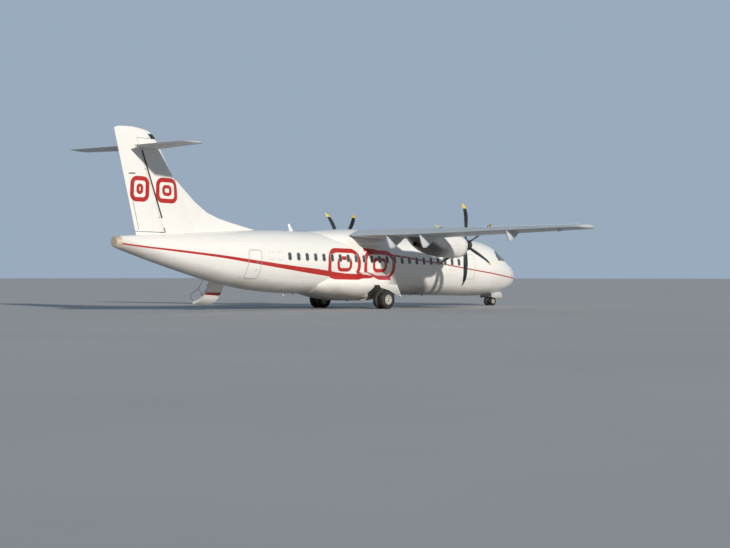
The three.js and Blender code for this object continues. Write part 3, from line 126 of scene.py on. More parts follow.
@dataclass(frozen=True)
class Curve:
    """Smooth columns through table rows, with no bulge between the rows."""

    rows: tuple[Row, ...]
    straight: bool = False

    def at(self, value: float, column: int) -> float:
        """Value of one column at a place along the first column."""
        rows = self.rows
        i = next((k for k, row in enumerate(rows) if row[0] > value), len(rows) - 1)
        i = min(max(i - 1, 0), len(rows) - 2)
        start, end = rows[i], rows[i + 1]
        span = end[0] - start[0]
        t = (value - start[0]) / span
        if self.straight:
            return start[column] + t * (end[column] - start[column])
        a, b = self._slope(column, i), self._slope(column, i + 1)
        return (
            start[column] * (2 * t**3 - 3 * t**2 + 1)
            + end[column] * (3 * t**2 - 2 * t**3)
            + span * (a * (t**3 - 2 * t**2 + t) + b * (t**3 - t**2))
        )

    def _between(self, column: int, i: int) -> float:
        """Slope of the straight line from one row to the next."""
        a, b = self.rows[i], self.rows[i + 1]
        return (b[column] - a[column]) / (b[0] - a[0])

    def _slope(self, column: int, i: int) -> float:
        """Slope at a row, the harmonic mean of its neighbours'."""
        if i == 0:
            return self._between(column, 0)
        if i == len(self.rows) - 1:
            return self._between(column, i - 1)
        before, after = self._between(column, i - 1), self._between(column, i)
        return 0.0 if before * after <= 0 else 2 * before * after / (before + after)


# Shapes and meshes


@dataclass
class Shape:
    """Vertices and faces in the airframe's millimetres."""

    points: np.ndarray
    faces: list[Sequence[int]]

    def volume(self) -> float:
        """Signed volume, positive where the faces point outwards."""
        total = 0.0
        for face in self.faces:
            a = self.points[face[0]]
            for j in range(1, len(face) - 1):
                total += float(np.dot(a, np.cross(self.points[face[j]], self.points[face[j + 1]])))
        return -total / 6  # stations run aft, so the axes are left-handed

    def outward(self) -> "Shape":
        """The same shape with its faces pointing outwards."""
        if self.volume() < 0:
            self.faces = [tuple(reversed(face)) for face in self.faces]
        return self

    def flipped(self) -> "Shape":
        """The shape on the other side of the aircraft."""
        points = self.points * np.array([1.0, -1.0, 1.0])
        return Shape(points, [tuple(reversed(face)) for face in self.faces])

    def moved(self, ds: float, dy: float, dw: float) -> "Shape":
        """The shape at another place."""
        return Shape(self.points + np.array([ds, dy, dw]), list(self.faces))

    def on(self, side: Side) -> "Shape":
        """The shape as built for port, on the given side."""
        return self if side is Side.LEFT else self.flipped()


def joined(shapes: Sequence[Shape]) -> Shape:
    """One shape that holds all the given shapes."""
    points, faces, start = [], [], 0
    for shape in shapes:
        points.append(shape.points)
        faces += [tuple(i + start for i in face) for face in shape.faces]
        start += len(shape.points)
    return Shape(np.concatenate(points), faces)


def loft(rings: Sequence[Sequence[Vec]], closed_ends: bool = True, loop: bool = False) -> Shape:
    """Skin between rings of equal length.

    Args:
        rings: Rings of points, in order.
        closed_ends: Whether the first and last ring get a face.
        loop: Whether the last ring joins the first.

    Returns:
        A shape whose faces point outwards.
    """
    count = len(rings[0])
    points = np.array([p for ring in rings for p in ring], float)
    faces: list[Sequence[int]] = []
    steps = len(rings) if loop else len(rings) - 1
    for i in range(steps):
        for j in range(count):
            k = (j + 1) % count
            n = (i + 1) % len(rings)
            faces.append((i * count + j, i * count + k, n * count + k, n * count + j))
    if closed_ends and not loop:
        faces.append(tuple(reversed(range(count))))
        faces.append(tuple(range((len(rings) - 1) * count, len(rings) * count)))
    return Shape(points, faces).outward()


def box(s0: float, s1: float, y0: float, y1: float, w0: float, w1: float) -> Shape:
    """Block between two stations, two widths and two heights."""
    return loft([[(s, y0, w0), (s, y1, w0), (s, y1, w1), (s, y0, w1)] for s in (s0, s1)])


def prism(outline: Outline, y0: float, y1: float) -> Shape:
    """Prism across the aircraft from an outline of stations and heights."""
    return loft([[(s, y, w) for s, w in outline] for y in (y0, y1)])


def around(count: int) -> list[float]:
    """Angles of a full turn in even steps."""
    return [2 * math.pi * i / count for i in range(count)]


def oval(s: float, y: float, section: Sequence[float], sides: int, grow: float = 0.0) -> list[Vec]:
    """Ring from a top, bottom, half width and height of the widest point."""
    top, bottom, half, wide = section
    ring = []
    for a in around(sides):
        reach = (top + grow - wide) if math.cos(a) > 0 else (wide - bottom + grow)
        ring.append((s, y + (half + grow) * math.sin(a), wide + reach * math.cos(a)))
    return ring


def hoop(centre: np.ndarray, along: np.ndarray, radius: float, sides: int, axes: tuple[int, int]) -> list[Vec]:
    """Circle about a direction, started from the first of two axes that isn't close to the direction."""
    along = along / np.linalg.norm(along)
    u = np.cross(along, np.eye(3)[axes[0] if abs(along[axes[0]]) < 0.9 else axes[1]])
    u /= np.linalg.norm(u)
    v = np.cross(along, u)
    return [tuple(centre + radius * (math.cos(t) * u + math.sin(t) * v))
            for t in np.linspace(0, 2 * math.pi, sides, endpoint=False)]


def bar(start: Vec, end: Vec, radius: float, end_radius: float | None = None, sides: int = 24) -> Shape:
    """Round bar between two points."""
    a, b = np.array(start, float), np.array(end, float)
    ends = ((a, radius), (b, radius if end_radius is None else end_radius))
    return loft([hoop(centre, b - a, r, sides, (2, 0)) for centre, r in ends])


def tube(path: Sequence[Vec], radius: float, sides: int = 10) -> Shape:
    """Round tube with closed ends along a path."""
    pts = [np.array(p, float) for p in path]
    return loft([hoop(p, pts[min(i + 1, len(pts) - 1)] - pts[max(i - 1, 0)], radius, sides, (1, 2))
                 for i, p in enumerate(pts)])


def lathe(profile: Outline, axis: str, centre: Vec, sides: int) -> Shape:
    """Solid of revolution from a profile that closes on itself.

    Args:
        profile: Pairs of place along the axis and radius.
        axis: "s" for an axis along the fuselage, "y" for one across it, "w" for an upright one.
        centre: Point on the axis where the profile's zero lies.
        sides: Number of segments around.

    Returns:
        The closed shape.
    """
    rings = []
    for along, r in profile:
        circle = [(r * math.cos(t), r * math.sin(t)) for t in np.linspace(0, 2 * math.pi, sides, endpoint=False)]
        rings.append([{"s": (along, a, b), "y": (a, along, b), "w": (a, b, along)}[axis] for a, b in circle])
    return loft(rings, closed_ends=False, loop=True).moved(*centre)


def spindle(profile: Outline, axis: str, centre: Vec, sides: int = 40) -> Shape:
    """Solid of revolution whose profile has a flat face at both ends."""
    return lathe([(profile[0][0], AXIS), *profile, (profile[-1][0], AXIS)], axis, centre, sides)


def raw_mesh(shape: Shape, name: str) -> bpy.types.Mesh:
    """Mesh in metres, with the stations turned to +X forward."""
    mesh = bpy.data.meshes.new(name)
    mesh.from_pydata((shape.points * np.array([-1.0, 1.0, 1.0]) / MM).tolist(), [], [list(f) for f in shape.faces])
    mesh.update()
    return mesh


def linked(data: bpy.types.ID, name: str) -> bpy.types.Object:
    """New object in the scene for a mesh, a light or a camera."""
    obj = bpy.data.objects.new(name, data)
    bpy.context.scene.collection.objects.link(obj)
    return obj


def taken(host: bpy.types.Object, helpers: Sequence[bpy.types.Object]) -> Shape:
    """Shape of an object with its modifiers applied; it and its helpers are removed."""
    bpy.context.view_layer.update()
    mesh = bpy.data.meshes.new_from_object(host.evaluated_get(bpy.context.evaluated_depsgraph_get()))
    points = np.zeros(len(mesh.vertices) * 3)
    mesh.vertices.foreach_get("co", points)
    faces = [tuple(p.vertices) for p in mesh.polygons]
    for used in (host, *helpers):
        data = used.data
        bpy.data.objects.remove(used)
        bpy.data.meshes.remove(data)
    bpy.data.meshes.remove(mesh)
    return Shape(points.reshape(-1, 3) * np.array([-1.0, 1.0, 1.0]) * MM, faces)


class Carve(Enum):
    """What a tool does to the shape that it meets."""

    CUT = "DIFFERENCE"
    KEEP = "INTERSECT"
    ADD = "UNION"


def carved(base: Shape, tools: Sequence[tuple[Shape, Carve]]) -> Shape:
    """Shape after each tool in turn has cut, kept or added to it."""
    obj = linked(raw_mesh(base, "blank"), "blank")
    helpers = []
    for tool, how in tools:
        helper = linked(raw_mesh(tool, "tool"), "tool")
        modifier = obj.modifiers.new("carve", "BOOLEAN")
        modifier.operation, modifier.solver, modifier.object = how.value, "EXACT", helper
        helpers.append(helper)
    return taken(obj, helpers)


# Materials


class Nodes:
    """Short hand for building one material's node tree."""

    def __init__(self, name: str) -> None:
        """Starts an empty material with a Principled shader.

        Args:
            name: Name of the material.
        """
        self.material = bpy.data.materials.new(name)
        self.material.use_nodes = True
        self.tree = self.material.node_tree
        self.shader = self.tree.nodes["Principled BSDF"]

    def add(self, kind: str, **values: object) -> bpy.types.Node:
        """New node with the given properties."""
        node = self.tree.nodes.new(kind)
        for key, value in values.items():
            setattr(node, key, value)
        return node

    def feed(self, value: object, socket: Socket) -> None:
        """Links a socket to another one, or sets it to a number or a colour."""
        if isinstance(value, Socket):
            self.tree.links.new(value, socket)
        else:
            socket.default_value = (*value, 1.0) if isinstance(value, tuple) else float(value)

    def math(self, operation: str, *inputs: object) -> Socket:
        """Result of a Math node on sockets or numbers."""
        node = self.add("ShaderNodeMath", operation=operation)
        for socket, value in zip(node.inputs, inputs):
            self.feed(value, socket)
        return node.outputs[0]

    def mul(self, *values: object) -> Socket:
        """Product of sockets and numbers."""
        return reduce(lambda a, b: self.math("MULTIPLY", a, b), values)

    def most(self, values: Sequence[Socket]) -> Socket:
        """Greatest of the sockets."""
        return reduce(lambda a, b: self.math("MAXIMUM", a, b), values)

    def minus(self, a: object, b: object) -> Socket:
        """First value less the second."""
        return self.math("SUBTRACT", a, b)

    def near(self, value: Socket, middle: object, reach: object) -> Socket:
        """One where a value lies within reach of the middle, zero elsewhere."""
        return self.math("LESS_THAN", self.math("ABSOLUTE", self.minus(value, middle)), reach)

    def mix(self, factor: object, a: object, b: object) -> Socket:
        """Colour between two colours or colour sockets."""
        node = self.add("ShaderNodeMix", data_type="RGBA")
        for key, value in zip(("Factor", 6, 7), (factor, a, b)):
            self.feed(value, node.inputs[key])
        return node.outputs[2]

    def place(self, attribute: str | None = None) -> Socket:
        """Vector of an attribute of the piece, or its Object coordinates."""
        if attribute:
            return self.add("ShaderNodeAttribute", attribute_name=attribute).outputs["Vector"]
        return self.add("ShaderNodeTexCoord").outputs["Object"]

    def parts(self, vector: Socket) -> list[Socket]:
        """The three numbers of a vector."""
        node = self.add("ShaderNodeSeparateXYZ")
        self.feed(vector, node.inputs[0])
        return list(node.outputs)

    def noise(self, vector: Socket, scale: float, detail: float, stretch: Vec = (1.0, 1.0, 1.0)) -> Socket:
        """Noise from 0 to 1, stretched along the axes."""
        mapping = self.add("ShaderNodeMapping")
        mapping.inputs["Scale"].default_value = stretch
        self.feed(vector, mapping.inputs["Vector"])
        node = self.add("ShaderNodeTexNoise")
        for key, value in (("Scale", scale), ("Detail", detail), ("Vector", mapping.outputs[0])):
            self.feed(value, node.inputs[key])
        return node.outputs["Fac"]

    def ramp(self, value: Socket, stops: Sequence[tuple[float, Vec]]) -> Socket:
        """Colour ramp with the given stops."""
        node = self.add("ShaderNodeValToRGB")
        elements = node.color_ramp.elements
        while len(elements) < len(stops):
            elements.new(0.5)
        for element, (at, colour) in zip(elements, stops):
            element.position, element.color = at, (*colour, 1.0)
        self.feed(value, node.inputs[0])
        return node.outputs[0]

    def span(self, value: Socket, low: float, high: float, to_low: float = 0.0, to_high: float = 1.0) -> Socket:
        """Clamped range of a value, mapped to another range."""
        node = self.add("ShaderNodeMapRange")
        for key, given in zip(("Value", "From Min", "From Max", "To Min", "To Max"),
                              (value, low, high, to_low, to_high)):
            self.feed(given, node.inputs[key])
        return node.outputs[0]

    def bump(self, height: Socket, strength: float, distance: float) -> None:
        """Feeds a height into the shader's normal."""
        node = self.add("ShaderNodeBump")
        for key, value in (("Strength", strength), ("Distance", distance), ("Height", height)):
            self.feed(value, node.inputs[key])
        self.feed(node.outputs[0], self.shader.inputs["Normal"])

    def rough(self, value: Socket, low: float, high: float, smooth: float, coarse: float) -> None:
        """Sets the roughness from one number to another over a range of a value."""
        self.feed(self.span(value, low, high, smooth, coarse), self.shader.inputs["Roughness"])

    def set(self, **values: float) -> None:
        """Sets plain numbers on the shader's own sockets."""
        for key, value in values.items():
            self.shader.inputs[key.replace("_", " ").title().replace("Ior", "IOR")].default_value = value

    def colour(self, value: object) -> None:
        """Sets or links the base colour."""
        self.feed(value, self.shader.inputs["Base Color"])


@dataclass(frozen=True)
class Grime:
    """How dirt and wear vary a plain finish.

    Attributes:
        scale: Size of the mottling, in cycles per metre.
        amount: How far the colour moves towards the dirt.
        dirt: Colour of the dirt.
    """

    scale: float = 1.6
    amount: float = 0.18
    dirt: Vec = (0.42, 0.38, 0.32)


@dataclass(frozen=True)
class Plain:
    """Painted or bare finish with mottled dirt, uneven gloss and a fine surface.

    Attributes:
        name: Name of the material.
        base: Base colour.
        rough: Roughness range.
        metal: Metalness.
        coat: Weight of the clear coat.
        grime: How it is soiled.
        grain: Scale and depth in millimetres of the surface's relief.
    """

    name: str
    base: Vec
    rough: Pair = (0.3, 0.42)
    metal: float = 0.0
    coat: float = 0.0
    grime: Grime = field(default_factory=Grime)
    grain: Pair = (60.0, 0.15)

    def make(self) -> bpy.types.Material:
        """Builds the material."""
        n = Nodes(self.name)
        where = n.place()
        patches = n.noise(where, self.grime.scale, 6.0)
        streaks = n.noise(where, self.grime.scale * 2.2, 5.0, (0.35, 1.0, 2.5))
        soil = n.mul(n.span(patches, 0.45, 0.75), n.span(streaks, 0.4, 0.8), self.grime.amount)
        n.colour(n.mix(soil, self.base, self.grime.dirt))
        n.rough(streaks, 0.3, 0.7, *self.rough)
        n.set(metallic=self.metal, coat_weight=self.coat)
        n.bump(n.noise(where, self.grain[0], 3.0), 0.35, self.grain[1] / MM)
        return n.material


@dataclass(frozen=True)
class Band:
    """Painted line along the fuselage.

    Attributes:
        rows: Station, height of its middle and half its width, in metres.
    """

    rows: tuple[Row, ...]
    low: float = -1.0
    high: float = 1.0
    widest: float = 0.2

    def mask(self, n: Nodes, s: Socket, w: Socket) -> Socket:
        """One where the line is, zero elsewhere."""
        first, last = self.rows[0][0], self.rows[-1][0]
        along = n.math("DIVIDE", n.minus(s, first), last - first)
        middle = self._curve(n, along, 1, self.low, self.high)
        half = self._curve(n, along, 2, 0.0, self.widest)
        return n.mul(n.near(w, middle, half), n.near(along, 0.5, 0.5))

    def _curve(self, n: Nodes, along: Socket, column: int, low: float, high: float) -> Socket:
        """Column of the table as a function of the share of the line's length."""
        node = n.add("ShaderNodeFloatCurve")
        points = node.mapping.curves[0].points
        while len(points) < len(self.rows):
            points.new(0.5, 0.5)
        first, last = self.rows[0][0], self.rows[-1][0]
        for point, row in zip(points, self.rows):
            point.location = ((row[0] - first) / (last - first), (row[column] - low) / (high - low))
            point.handle_type = "AUTO_CLAMPED"
        node.mapping.update()
        n.feed(along, node.inputs["Value"])
        return n.math("MULTIPLY_ADD", node.outputs[0], high - low, low)


@dataclass(frozen=True)
class Loop:
    """Painted round-cornered loop seen from the side, in metres.

    Attributes:
        s: Station of its middle.
        w: Height of its middle.
        long: Half its length.
        tall: Half its height.
        corner: Corner radius.
        line: Half the width of its line.
        side: Sign of y where it shows, or 0 for both sides.
    """

    s: float
    w: float
    long: float
    tall: float
    corner: float
    line: float
    side: int = 0

    def mask(self, n: Nodes, s: Socket, y: Socket, w: Socket) -> Socket:
        """One on the line, zero elsewhere."""
        reach = []
        for axis, middle, half in ((s, self.s, self.long), (w, self.w, self.tall)):
            off = n.math("ABSOLUTE", n.minus(axis, middle))
            reach.append(n.math("MAXIMUM", n.minus(off, half - self.corner), 0))
        far = n.math("SQRT", n.math("ADD", *(n.mul(r, r) for r in reach)))
        ring = n.near(far, self.corner, self.line)
        return n.mul(ring, n.math("GREATER_THAN", n.mul(y, self.side), 0.0)) if self.side else ring


@dataclass(frozen=True)
class Livery:
    """White paint of the hull and fin with red lines, plain loops, door outlines, seams, dirt, and painted shade that
    darkens the belly and the tail cone's lower side.

    Everything is placed by the airframe's own station, width and height, so it runs on across the pieces.
    """

    name: str = "livery_paint"
    white: Vec = (0.80, 0.775, 0.735)
    red: Vec = (0.42, 0.018, 0.014)
    dirt: Vec = (0.40, 0.35, 0.28)
    # colour of the painted shade on the belly and the tail cone's lower side
    shaded: Vec = (0.15, 0.125, 0.10)
    bands: tuple[Band, ...] = (
        Band(((13.05, -0.60, 0.03), (13.7, -0.60, 0.10), (14.8, -0.57, 0.115), (16.02, -0.46, 0.125),
              (17.97, -0.29, 0.10), (20.34, -0.045, 0.075), (21.95, 0.13, 0.058), (23.97, 0.30, 0.045),
              (26.17, 0.47, 0.034), (27.1, 0.56, 0.03))),
        Band(((0.0, -0.52, 0.028), (1.56, -0.437, 0.028), (3.6, -0.26, 0.029), (5.8, -0.053, 0.03),
              (7.6, 0.128, 0.033), (8.88, 0.233, 0.036), (10.28, 0.383, 0.042), (11.36, 0.458, 0.055),
              (12.48, 0.637, 0.075), (13.16, 0.667, 0.08))),
    )
    loops: tuple[Loop, ...] = (
        Loop(14.60, -0.04, 1.00, 0.62, 0.50, 0.105), Loop(14.60, -0.04, 0.42, 0.27, 0.22, 0.085),
        Loop(12.15, -0.04, 1.00, 0.60, 0.48, 0.105), Loop(12.15, -0.04, 0.42, 0.26, 0.21, 0.085),
        Loop(25.80, 2.86, 0.38, 0.44, 0.22, 0.095), Loop(25.80, 2.86, 0.10, 0.15, 0.09, 0.07),
        Loop(24.38, 2.86, 0.50, 0.44, 0.24, 0.095), Loop(24.38, 2.86, 0.19, 0.16, 0.12, 0.075),
    )
    outlines: tuple[Loop, ...] = (
        Loop(20.16, -0.175, 0.352, 0.637, 0.14, 0.022, -1), Loop(5.25, 0.02, 0.36, 0.62, 0.12, 0.016, 0),
        Loop(20.35, 0.095, 0.432, 0.907, 0.12, 0.016, 1), Loop(4.27, -0.015, 0.672, 0.797, 0.12, 0.016, 1),
        Loop(20.02, -0.10, 0.035, 0.035, 0.03, 0.02, -1), Loop(20.02, -0.42, 0.03, 0.03, 0.025, 0.018, -1),
    )
    doorways: tuple[Row, ...] = ((4.2675, 0.67, 1.17, -0.015, 0.79), (20.35, 0.43, 0.80, 0.095, 0.895))
    door_backs: tuple[Row, ...] = (
        (4.2675, 0.67, 1.385, -0.20, 0.12), (20.075, 0.135, 1.205, -0.07, 0.12),
        (20.345, 0.135, 1.175, -0.05, 0.12), (20.62, 0.14, 1.138, -0.02, 0.12))
    lining: Vec = (0.46, 0.45, 0.42)
    frame_pitch: float = 0.545
    lap_pitch: float = 0.42
    hull_top: float = 1.44
    # start and curve of the keel line that the painted shade follows as the hull's bottom rises aft
    tail_from: float = 16.3
    tail_curve: float = 0.016

    def make(self) -> bpy.types.Material:
        """Builds the material."""
        n = Nodes(self.name)
        where = n.place("airframe")
        s, y, w = n.parts(where)
        patches = n.noise(where, 0.8, 6.0)
        streaks = n.noise(where, 1.4, 6.0, (0.5, 1.0, 2.0))
        grimy = n.math("MULTIPLY_ADD", n.span(w, 0.0, -1.35), 0.75, 0.22)
        soil = n.mul(n.span(patches, 0.32, 0.8), n.span(streaks, 0.32, 0.8), grimy, 0.6)
        paint = n.mix(soil, self.white, self.dirt)
        # painted shade: the belly and the tail cone's lower side darken towards the shaded colour, streaked by noise
        aft = n.math("MAXIMUM", n.minus(s, self.tail_from), 0.0)
        keel = n.minus(w, n.mul(aft, aft, self.tail_curve))
        under = n.mul(n.span(keel, -0.9, -1.5), n.span(streaks, 0.2, 0.7, 0.6, 1.0), 0.9)
        paint = n.mix(under, paint, self.shaded)
        red = n.most([band.mask(n, s, w) for band in self.bands] + [loop.mask(n, s, y, w) for loop in self.loops])
        room = self._rooms(n, s, y, w, self.doorways)
        paint = n.mix(room, paint, self.lining)
        skin = n.minus(1.0, room)
        worn = n.mix(n.span(patches, 0.4, 0.9, 0.0, 0.25), self.red, (0.62, 0.12, 0.09))
        outer = n.minus(skin, self._rooms(n, s, y, w, self.door_backs))
        paint = n.mix(n.mul(red, n.math("MAXIMUM", outer, 0.0)), paint, worn)
        outline = n.most([loop.mask(n, s, y, w) for loop in self.outlines])
        paint = n.mix(n.mul(outline, skin, 0.6), paint, (0.33, 0.32, 0.31))
        angle = n.math("ARCTAN2", y, w)
        lines = [self._line(n, s, self.frame_pitch * 2, 0.0048), self._line(n, angle, self.lap_pitch, 0.010)]
        seam = n.mul(n.math("LESS_THAN", w, self.hull_top), n.most(lines))
        paint = n.mix(n.mul(seam, 0.2), paint, (0.28, 0.25, 0.22))
        n.colour(paint)
        n.rough(streaks, 0.3, 0.75, 0.25, 0.42)
        n.set(coat_weight=0.3, coat_roughness=0.12)
        n.bump(n.math("ADD", n.noise(where, 1.3, 2.0), n.mul(seam, -0.5)), 0.25, 0.005)
        return n.material

    @staticmethod
    def _rooms(n: Nodes, s: Socket, y: Socket, w: Socket, rows: tuple[Row, ...]) -> Socket:
        """One inside the given rooms, zero on the outer skin."""
        return n.most([
            n.mul(n.math("LESS_THAN", n.math("ABSOLUTE", y), depth), n.near(s, station, half), n.near(w, height, tall))
            for station, half, depth, height, tall in rows])

    @staticmethod
    def _line(n: Nodes, value: Socket, pitch: float, share: float) -> Socket:
        """Thin lines at an even pitch."""
        return n.math("LESS_THAN", n.math("PINGPONG", n.math("DIVIDE", value, pitch), 0.5), share)


@dataclass(frozen=True)
class NacellePaint:
    """White cowling paint with panel lines, and a dark band along the lower rear, partly exhaust sooting and partly
    painted shade.

    Places are the airframe's own station, width and height in metres.
    """

    name: str = "nacelle_paint"
    white: Vec = (0.80, 0.775, 0.735)
    # near-black of the dark band: exhaust sooting and painted shade of the nacelle's lower rear
    soot: Vec = (0.05, 0.042, 0.035)
    splits: tuple[float, ...] = (9.42, 10.02, 10.9, 11.75, 12.35)
    split_height: float = 0.9
    # where the dark band begins and how fast its upper edge rises aft
    outlet: float = 11.3
    plume_rise: float = 0.42

    def make(self) -> bpy.types.Material:
        """Builds the material."""
        n = Nodes(self.name)
        where = n.place("airframe")
        s, y, w = n.parts(where)
        patches = n.noise(where, 1.1, 6.0)
        streaks = n.noise(where, 2.4, 6.0, (0.35, 1.0, 2.2))
        soil = n.mul(n.span(patches, 0.3, 0.8), n.span(w, 1.5, 0.4, 0.15, 0.8), 0.6)
        paint = n.mix(soil, self.white, (0.36, 0.32, 0.26))
        line = n.most([n.near(w, self.split_height, 0.005), *(n.near(s, split, 0.006) for split in self.splits)])
        paint = n.mix(n.mul(line, 0.55), paint, (0.2, 0.18, 0.16))
        # dark band, partly exhaust sooting and partly painted shade: it darkens the lower rear, more on the outboard
        # side, below a line that rises aft
        outboard = n.span(n.math("ABSOLUTE", y), 3.8, 4.15, 0.4, 1.0)
        aft = n.span(s, self.outlet - 0.8, self.outlet)
        rise = n.mul(n.math("MAXIMUM", n.minus(s, self.outlet), 0.0), self.plume_rise)
        low = n.mul(n.span(n.minus(w, rise), 0.86, 0.66), n.span(streaks, 0.1, 0.45, 0.5, 1.0))
        n.colour(n.mix(n.mul(outboard, aft, low, 0.92), paint, self.soot))
        n.rough(streaks, 0.3, 0.75, 0.28, 0.45)
        n.set(coat_weight=0.25, coat_roughness=0.15)
        n.bump(n.math("ADD", n.noise(where, 1.6, 2.0), n.mul(line, -0.6)), 0.25, 0.004)
        return n.material


@dataclass(frozen=True)
class Glass:
    """Dark glass with a faint uneven reflection."""

    name: str = "dark_glass"
    tint: Vec = (0.030, 0.036, 0.034)
    paler: float = 3.2

    def make(self) -> bpy.types.Material:
        """Builds the material."""
        n = Nodes(self.name)
        where = n.place()
        n.colour(n.mix(n.noise(where, 1.8, 2.0), self.tint, tuple(self.paler * c for c in self.tint)))
        n.rough(n.noise(where, 6.0, 3.0), 0.3, 0.7, 0.05, 0.12)
        n.set(coat_weight=0.6, coat_roughness=0.04, ior=1.52)
        return n.material


@dataclass(frozen=True)
class BladePaint:
    """Near-black composite with a yellow tip, by the distance from the hub."""

    name: str = "blade_composite"
    tip_from: float = 0.885
    metal_from: float = 0.35

    def make(self) -> bpy.types.Material:
        """Builds the material."""
        n = Nodes(self.name)
        span, edge, _ = n.parts(n.place("blade"))
        where = n.place()
        worn = n.noise(where, 9.0, 6.0)
        dark = n.mix(n.span(worn, 0.4, 0.8), (0.016, 0.016, 0.018), (0.05, 0.05, 0.052))
        nickel = n.mul(n.math("GREATER_THAN", edge, 0.9), n.math("GREATER_THAN", span, self.metal_from))
        tipped = n.mix(n.math("GREATER_THAN", span, self.tip_from), dark, (0.78, 0.55, 0.05))
        n.colour(n.mix(nickel, tipped, (0.35, 0.34, 0.33)))
        n.rough(worn, 0.3, 0.7, 0.3, 0.5)
        n.bump(n.noise(where, 120.0, 3.0), 0.2, 0.0002)
        return n.material


@dataclass(frozen=True)
class Rubber:
    """Tyre rubber, dusty on the tread."""

    name: str = "tyre_rubber"

    def make(self) -> bpy.types.Material:
        """Builds the material."""
        n = Nodes(self.name)
        where = n.place()
        dust = n.span(n.noise(where, 5.0, 7.0), 0.42, 0.75)
        n.colour(n.mix(n.mul(dust, 0.6), (0.013, 0.013, 0.013), (0.075, 0.068, 0.06)))
        n.rough(dust, 0.0, 1.0, 0.62, 0.88)
        n.bump(n.noise(where, 160.0, 4.0), 0.5, 0.0006)
        return n.material


@dataclass(frozen=True)
class Burnt:
    """Exhaust metal, blued and sooted by heat."""

    name: str = "burnt_metal"
    stops: tuple[tuple[float, Vec], ...] = (
        (0.3, (0.02, 0.018, 0.016)), (0.5, (0.10, 0.075, 0.05)), (0.62, (0.06, 0.065, 0.08)),
        (0.8, (0.16, 0.13, 0.10)))

    def make(self) -> bpy.types.Material:
        """Builds the material."""
        n = Nodes(self.name)
        where = n.place()
        heat = n.noise(where, 3.0, 5.0)
        n.colour(n.ramp(heat, self.stops))
        n.rough(heat, 0.3, 0.7, 0.35, 0.6)
        n.set(metallic=0.85)
        n.bump(n.noise(where, 40.0, 4.0), 0.3, 0.0006)
        return n.material


class Palette:
    """Every finish of the aircraft, made once when it is first asked for."""

    recipes: dict[str, object] = {
        "livery": Livery(),
        "nacelle": NacellePaint(),
        "glass": Glass(),
        "blade": BladePaint(),
        "rubber": Rubber(),
        "burnt": Burnt(),
        "wing": Plain("wing_paint", (0.52, 0.545, 0.56), (0.34, 0.5), 0.05, 0.1, Grime(1.3, 0.35, (0.33, 0.33, 0.32))),
        "tail_metal": Plain("tail_metal", (0.60, 0.50, 0.38), (0.35, 0.55), 0.35,
                            grime=Grime(5.0, 0.6, (0.25, 0.18, 0.12))),
        "spinner": Plain("spinner_paint", (0.028, 0.028, 0.032), (0.22, 0.34), 0.0, 0.4,
                         Grime(4.0, 0.4, (0.10, 0.09, 0.08))),
        "gear": Plain("gear_paint", (0.55, 0.56, 0.57), (0.3, 0.48), 0.1, 0.2, Grime(6.0, 0.6, (0.18, 0.15, 0.12))),
        "chrome": Plain("oleo_chrome", (0.75, 0.76, 0.78), (0.08, 0.16), 1.0, 0.0, Grime(8.0, 0.1)),
        "wheel": Plain("wheel_paint", (0.47, 0.44, 0.38), (0.34, 0.5), 0.15, 0.1, Grime(7.0, 0.7, (0.15, 0.13, 0.11))),
        "boot": Plain("boot_rubber", (0.022, 0.022, 0.024), (0.4, 0.6), 0.0, 0.0, Grime(4.0, 0.5, (0.10, 0.10, 0.10)),
                      (90.0, 0.3)),
        "seal": Plain("dark_seal", (0.03, 0.03, 0.032), (0.5, 0.7), 0.0, 0.0, Grime(6.0, 0.4)),
        "frame": Plain("window_frame", (0.50, 0.50, 0.49), (0.3, 0.45), 0.3, 0.1, Grime(6.0, 0.3)),
        "steel": Plain("bare_steel", (0.42, 0.42, 0.43), (0.25, 0.42), 0.9, 0.0, Grime(9.0, 0.4)),
        "tread": Plain("step_tread", (0.10, 0.10, 0.105), (0.6, 0.8), 0.1, 0.0, Grime(9.0, 0.4), (240.0, 0.8)),
        "white": Plain("white_parts", (0.80, 0.79, 0.76), (0.28, 0.42), 0.0, 0.25, Grime(2.4, 0.35)),
        "red_lens": Plain("red_lens", (0.5, 0.02, 0.015), (0.08, 0.14), 0.0, 0.5, Grime(9.0, 0.1)),
        "green_lens": Plain("green_lens", (0.01, 0.32, 0.08), (0.08, 0.14), 0.0, 0.5, Grime(9.0, 0.1)),
        "clear_lens": Plain("clear_lens", (0.75, 0.77, 0.78), (0.06, 0.12), 0.2, 0.6, Grime(9.0, 0.1)),
    }

    def __init__(self) -> None:
        """Starts with no material made."""
        self._made: dict[str, bpy.types.Material] = {}

    def get(self, name: str) -> bpy.types.Material:
        """The material of a finish."""
        if name not in self._made:
            self._made[name] = self.recipes[name].make()
        return self._made[name]


PALETTE = Palette()


@dataclass(frozen=True)
class Turn:
    """Turn of a piece from the pose that it is drawn in to the pose that it rests in."""

    through: Vec
    degrees: float

    def apply(self, points: np.ndarray) -> np.ndarray:
        """Points turned about a line that runs along the fuselage."""
        a = math.radians(self.degrees)
        y, w = points[:, 1] - self.through[1], points[:, 2] - self.through[2]
        turned = points.copy()
        turned[:, 1] = self.through[1] + y * math.cos(a) + w * math.sin(a)
        turned[:, 2] = self.through[2] - y * math.sin(a) + w * math.cos(a)
        return turned


@dataclass
class Finish:
    """How a shape becomes a piece of the scene.

    Attributes:
        material: Name of its finish in the palette.
        slot: Material slot of the record.
        body: Body that it rides on.
        replaces: CAD nodes that it stands for.
        angle: Edges sharper than this stay sharp, in degrees.
        turn: Turn from the drawn to the resting pose.
    """

    material: str
    slot: str
    body: str = "airframe"
    replaces: tuple[str, ...] = ()
    angle: float = 32.0
    turn: Turn | None = None


REPLACED: set[str] = set()  # CAD nodes that pieces already stand for


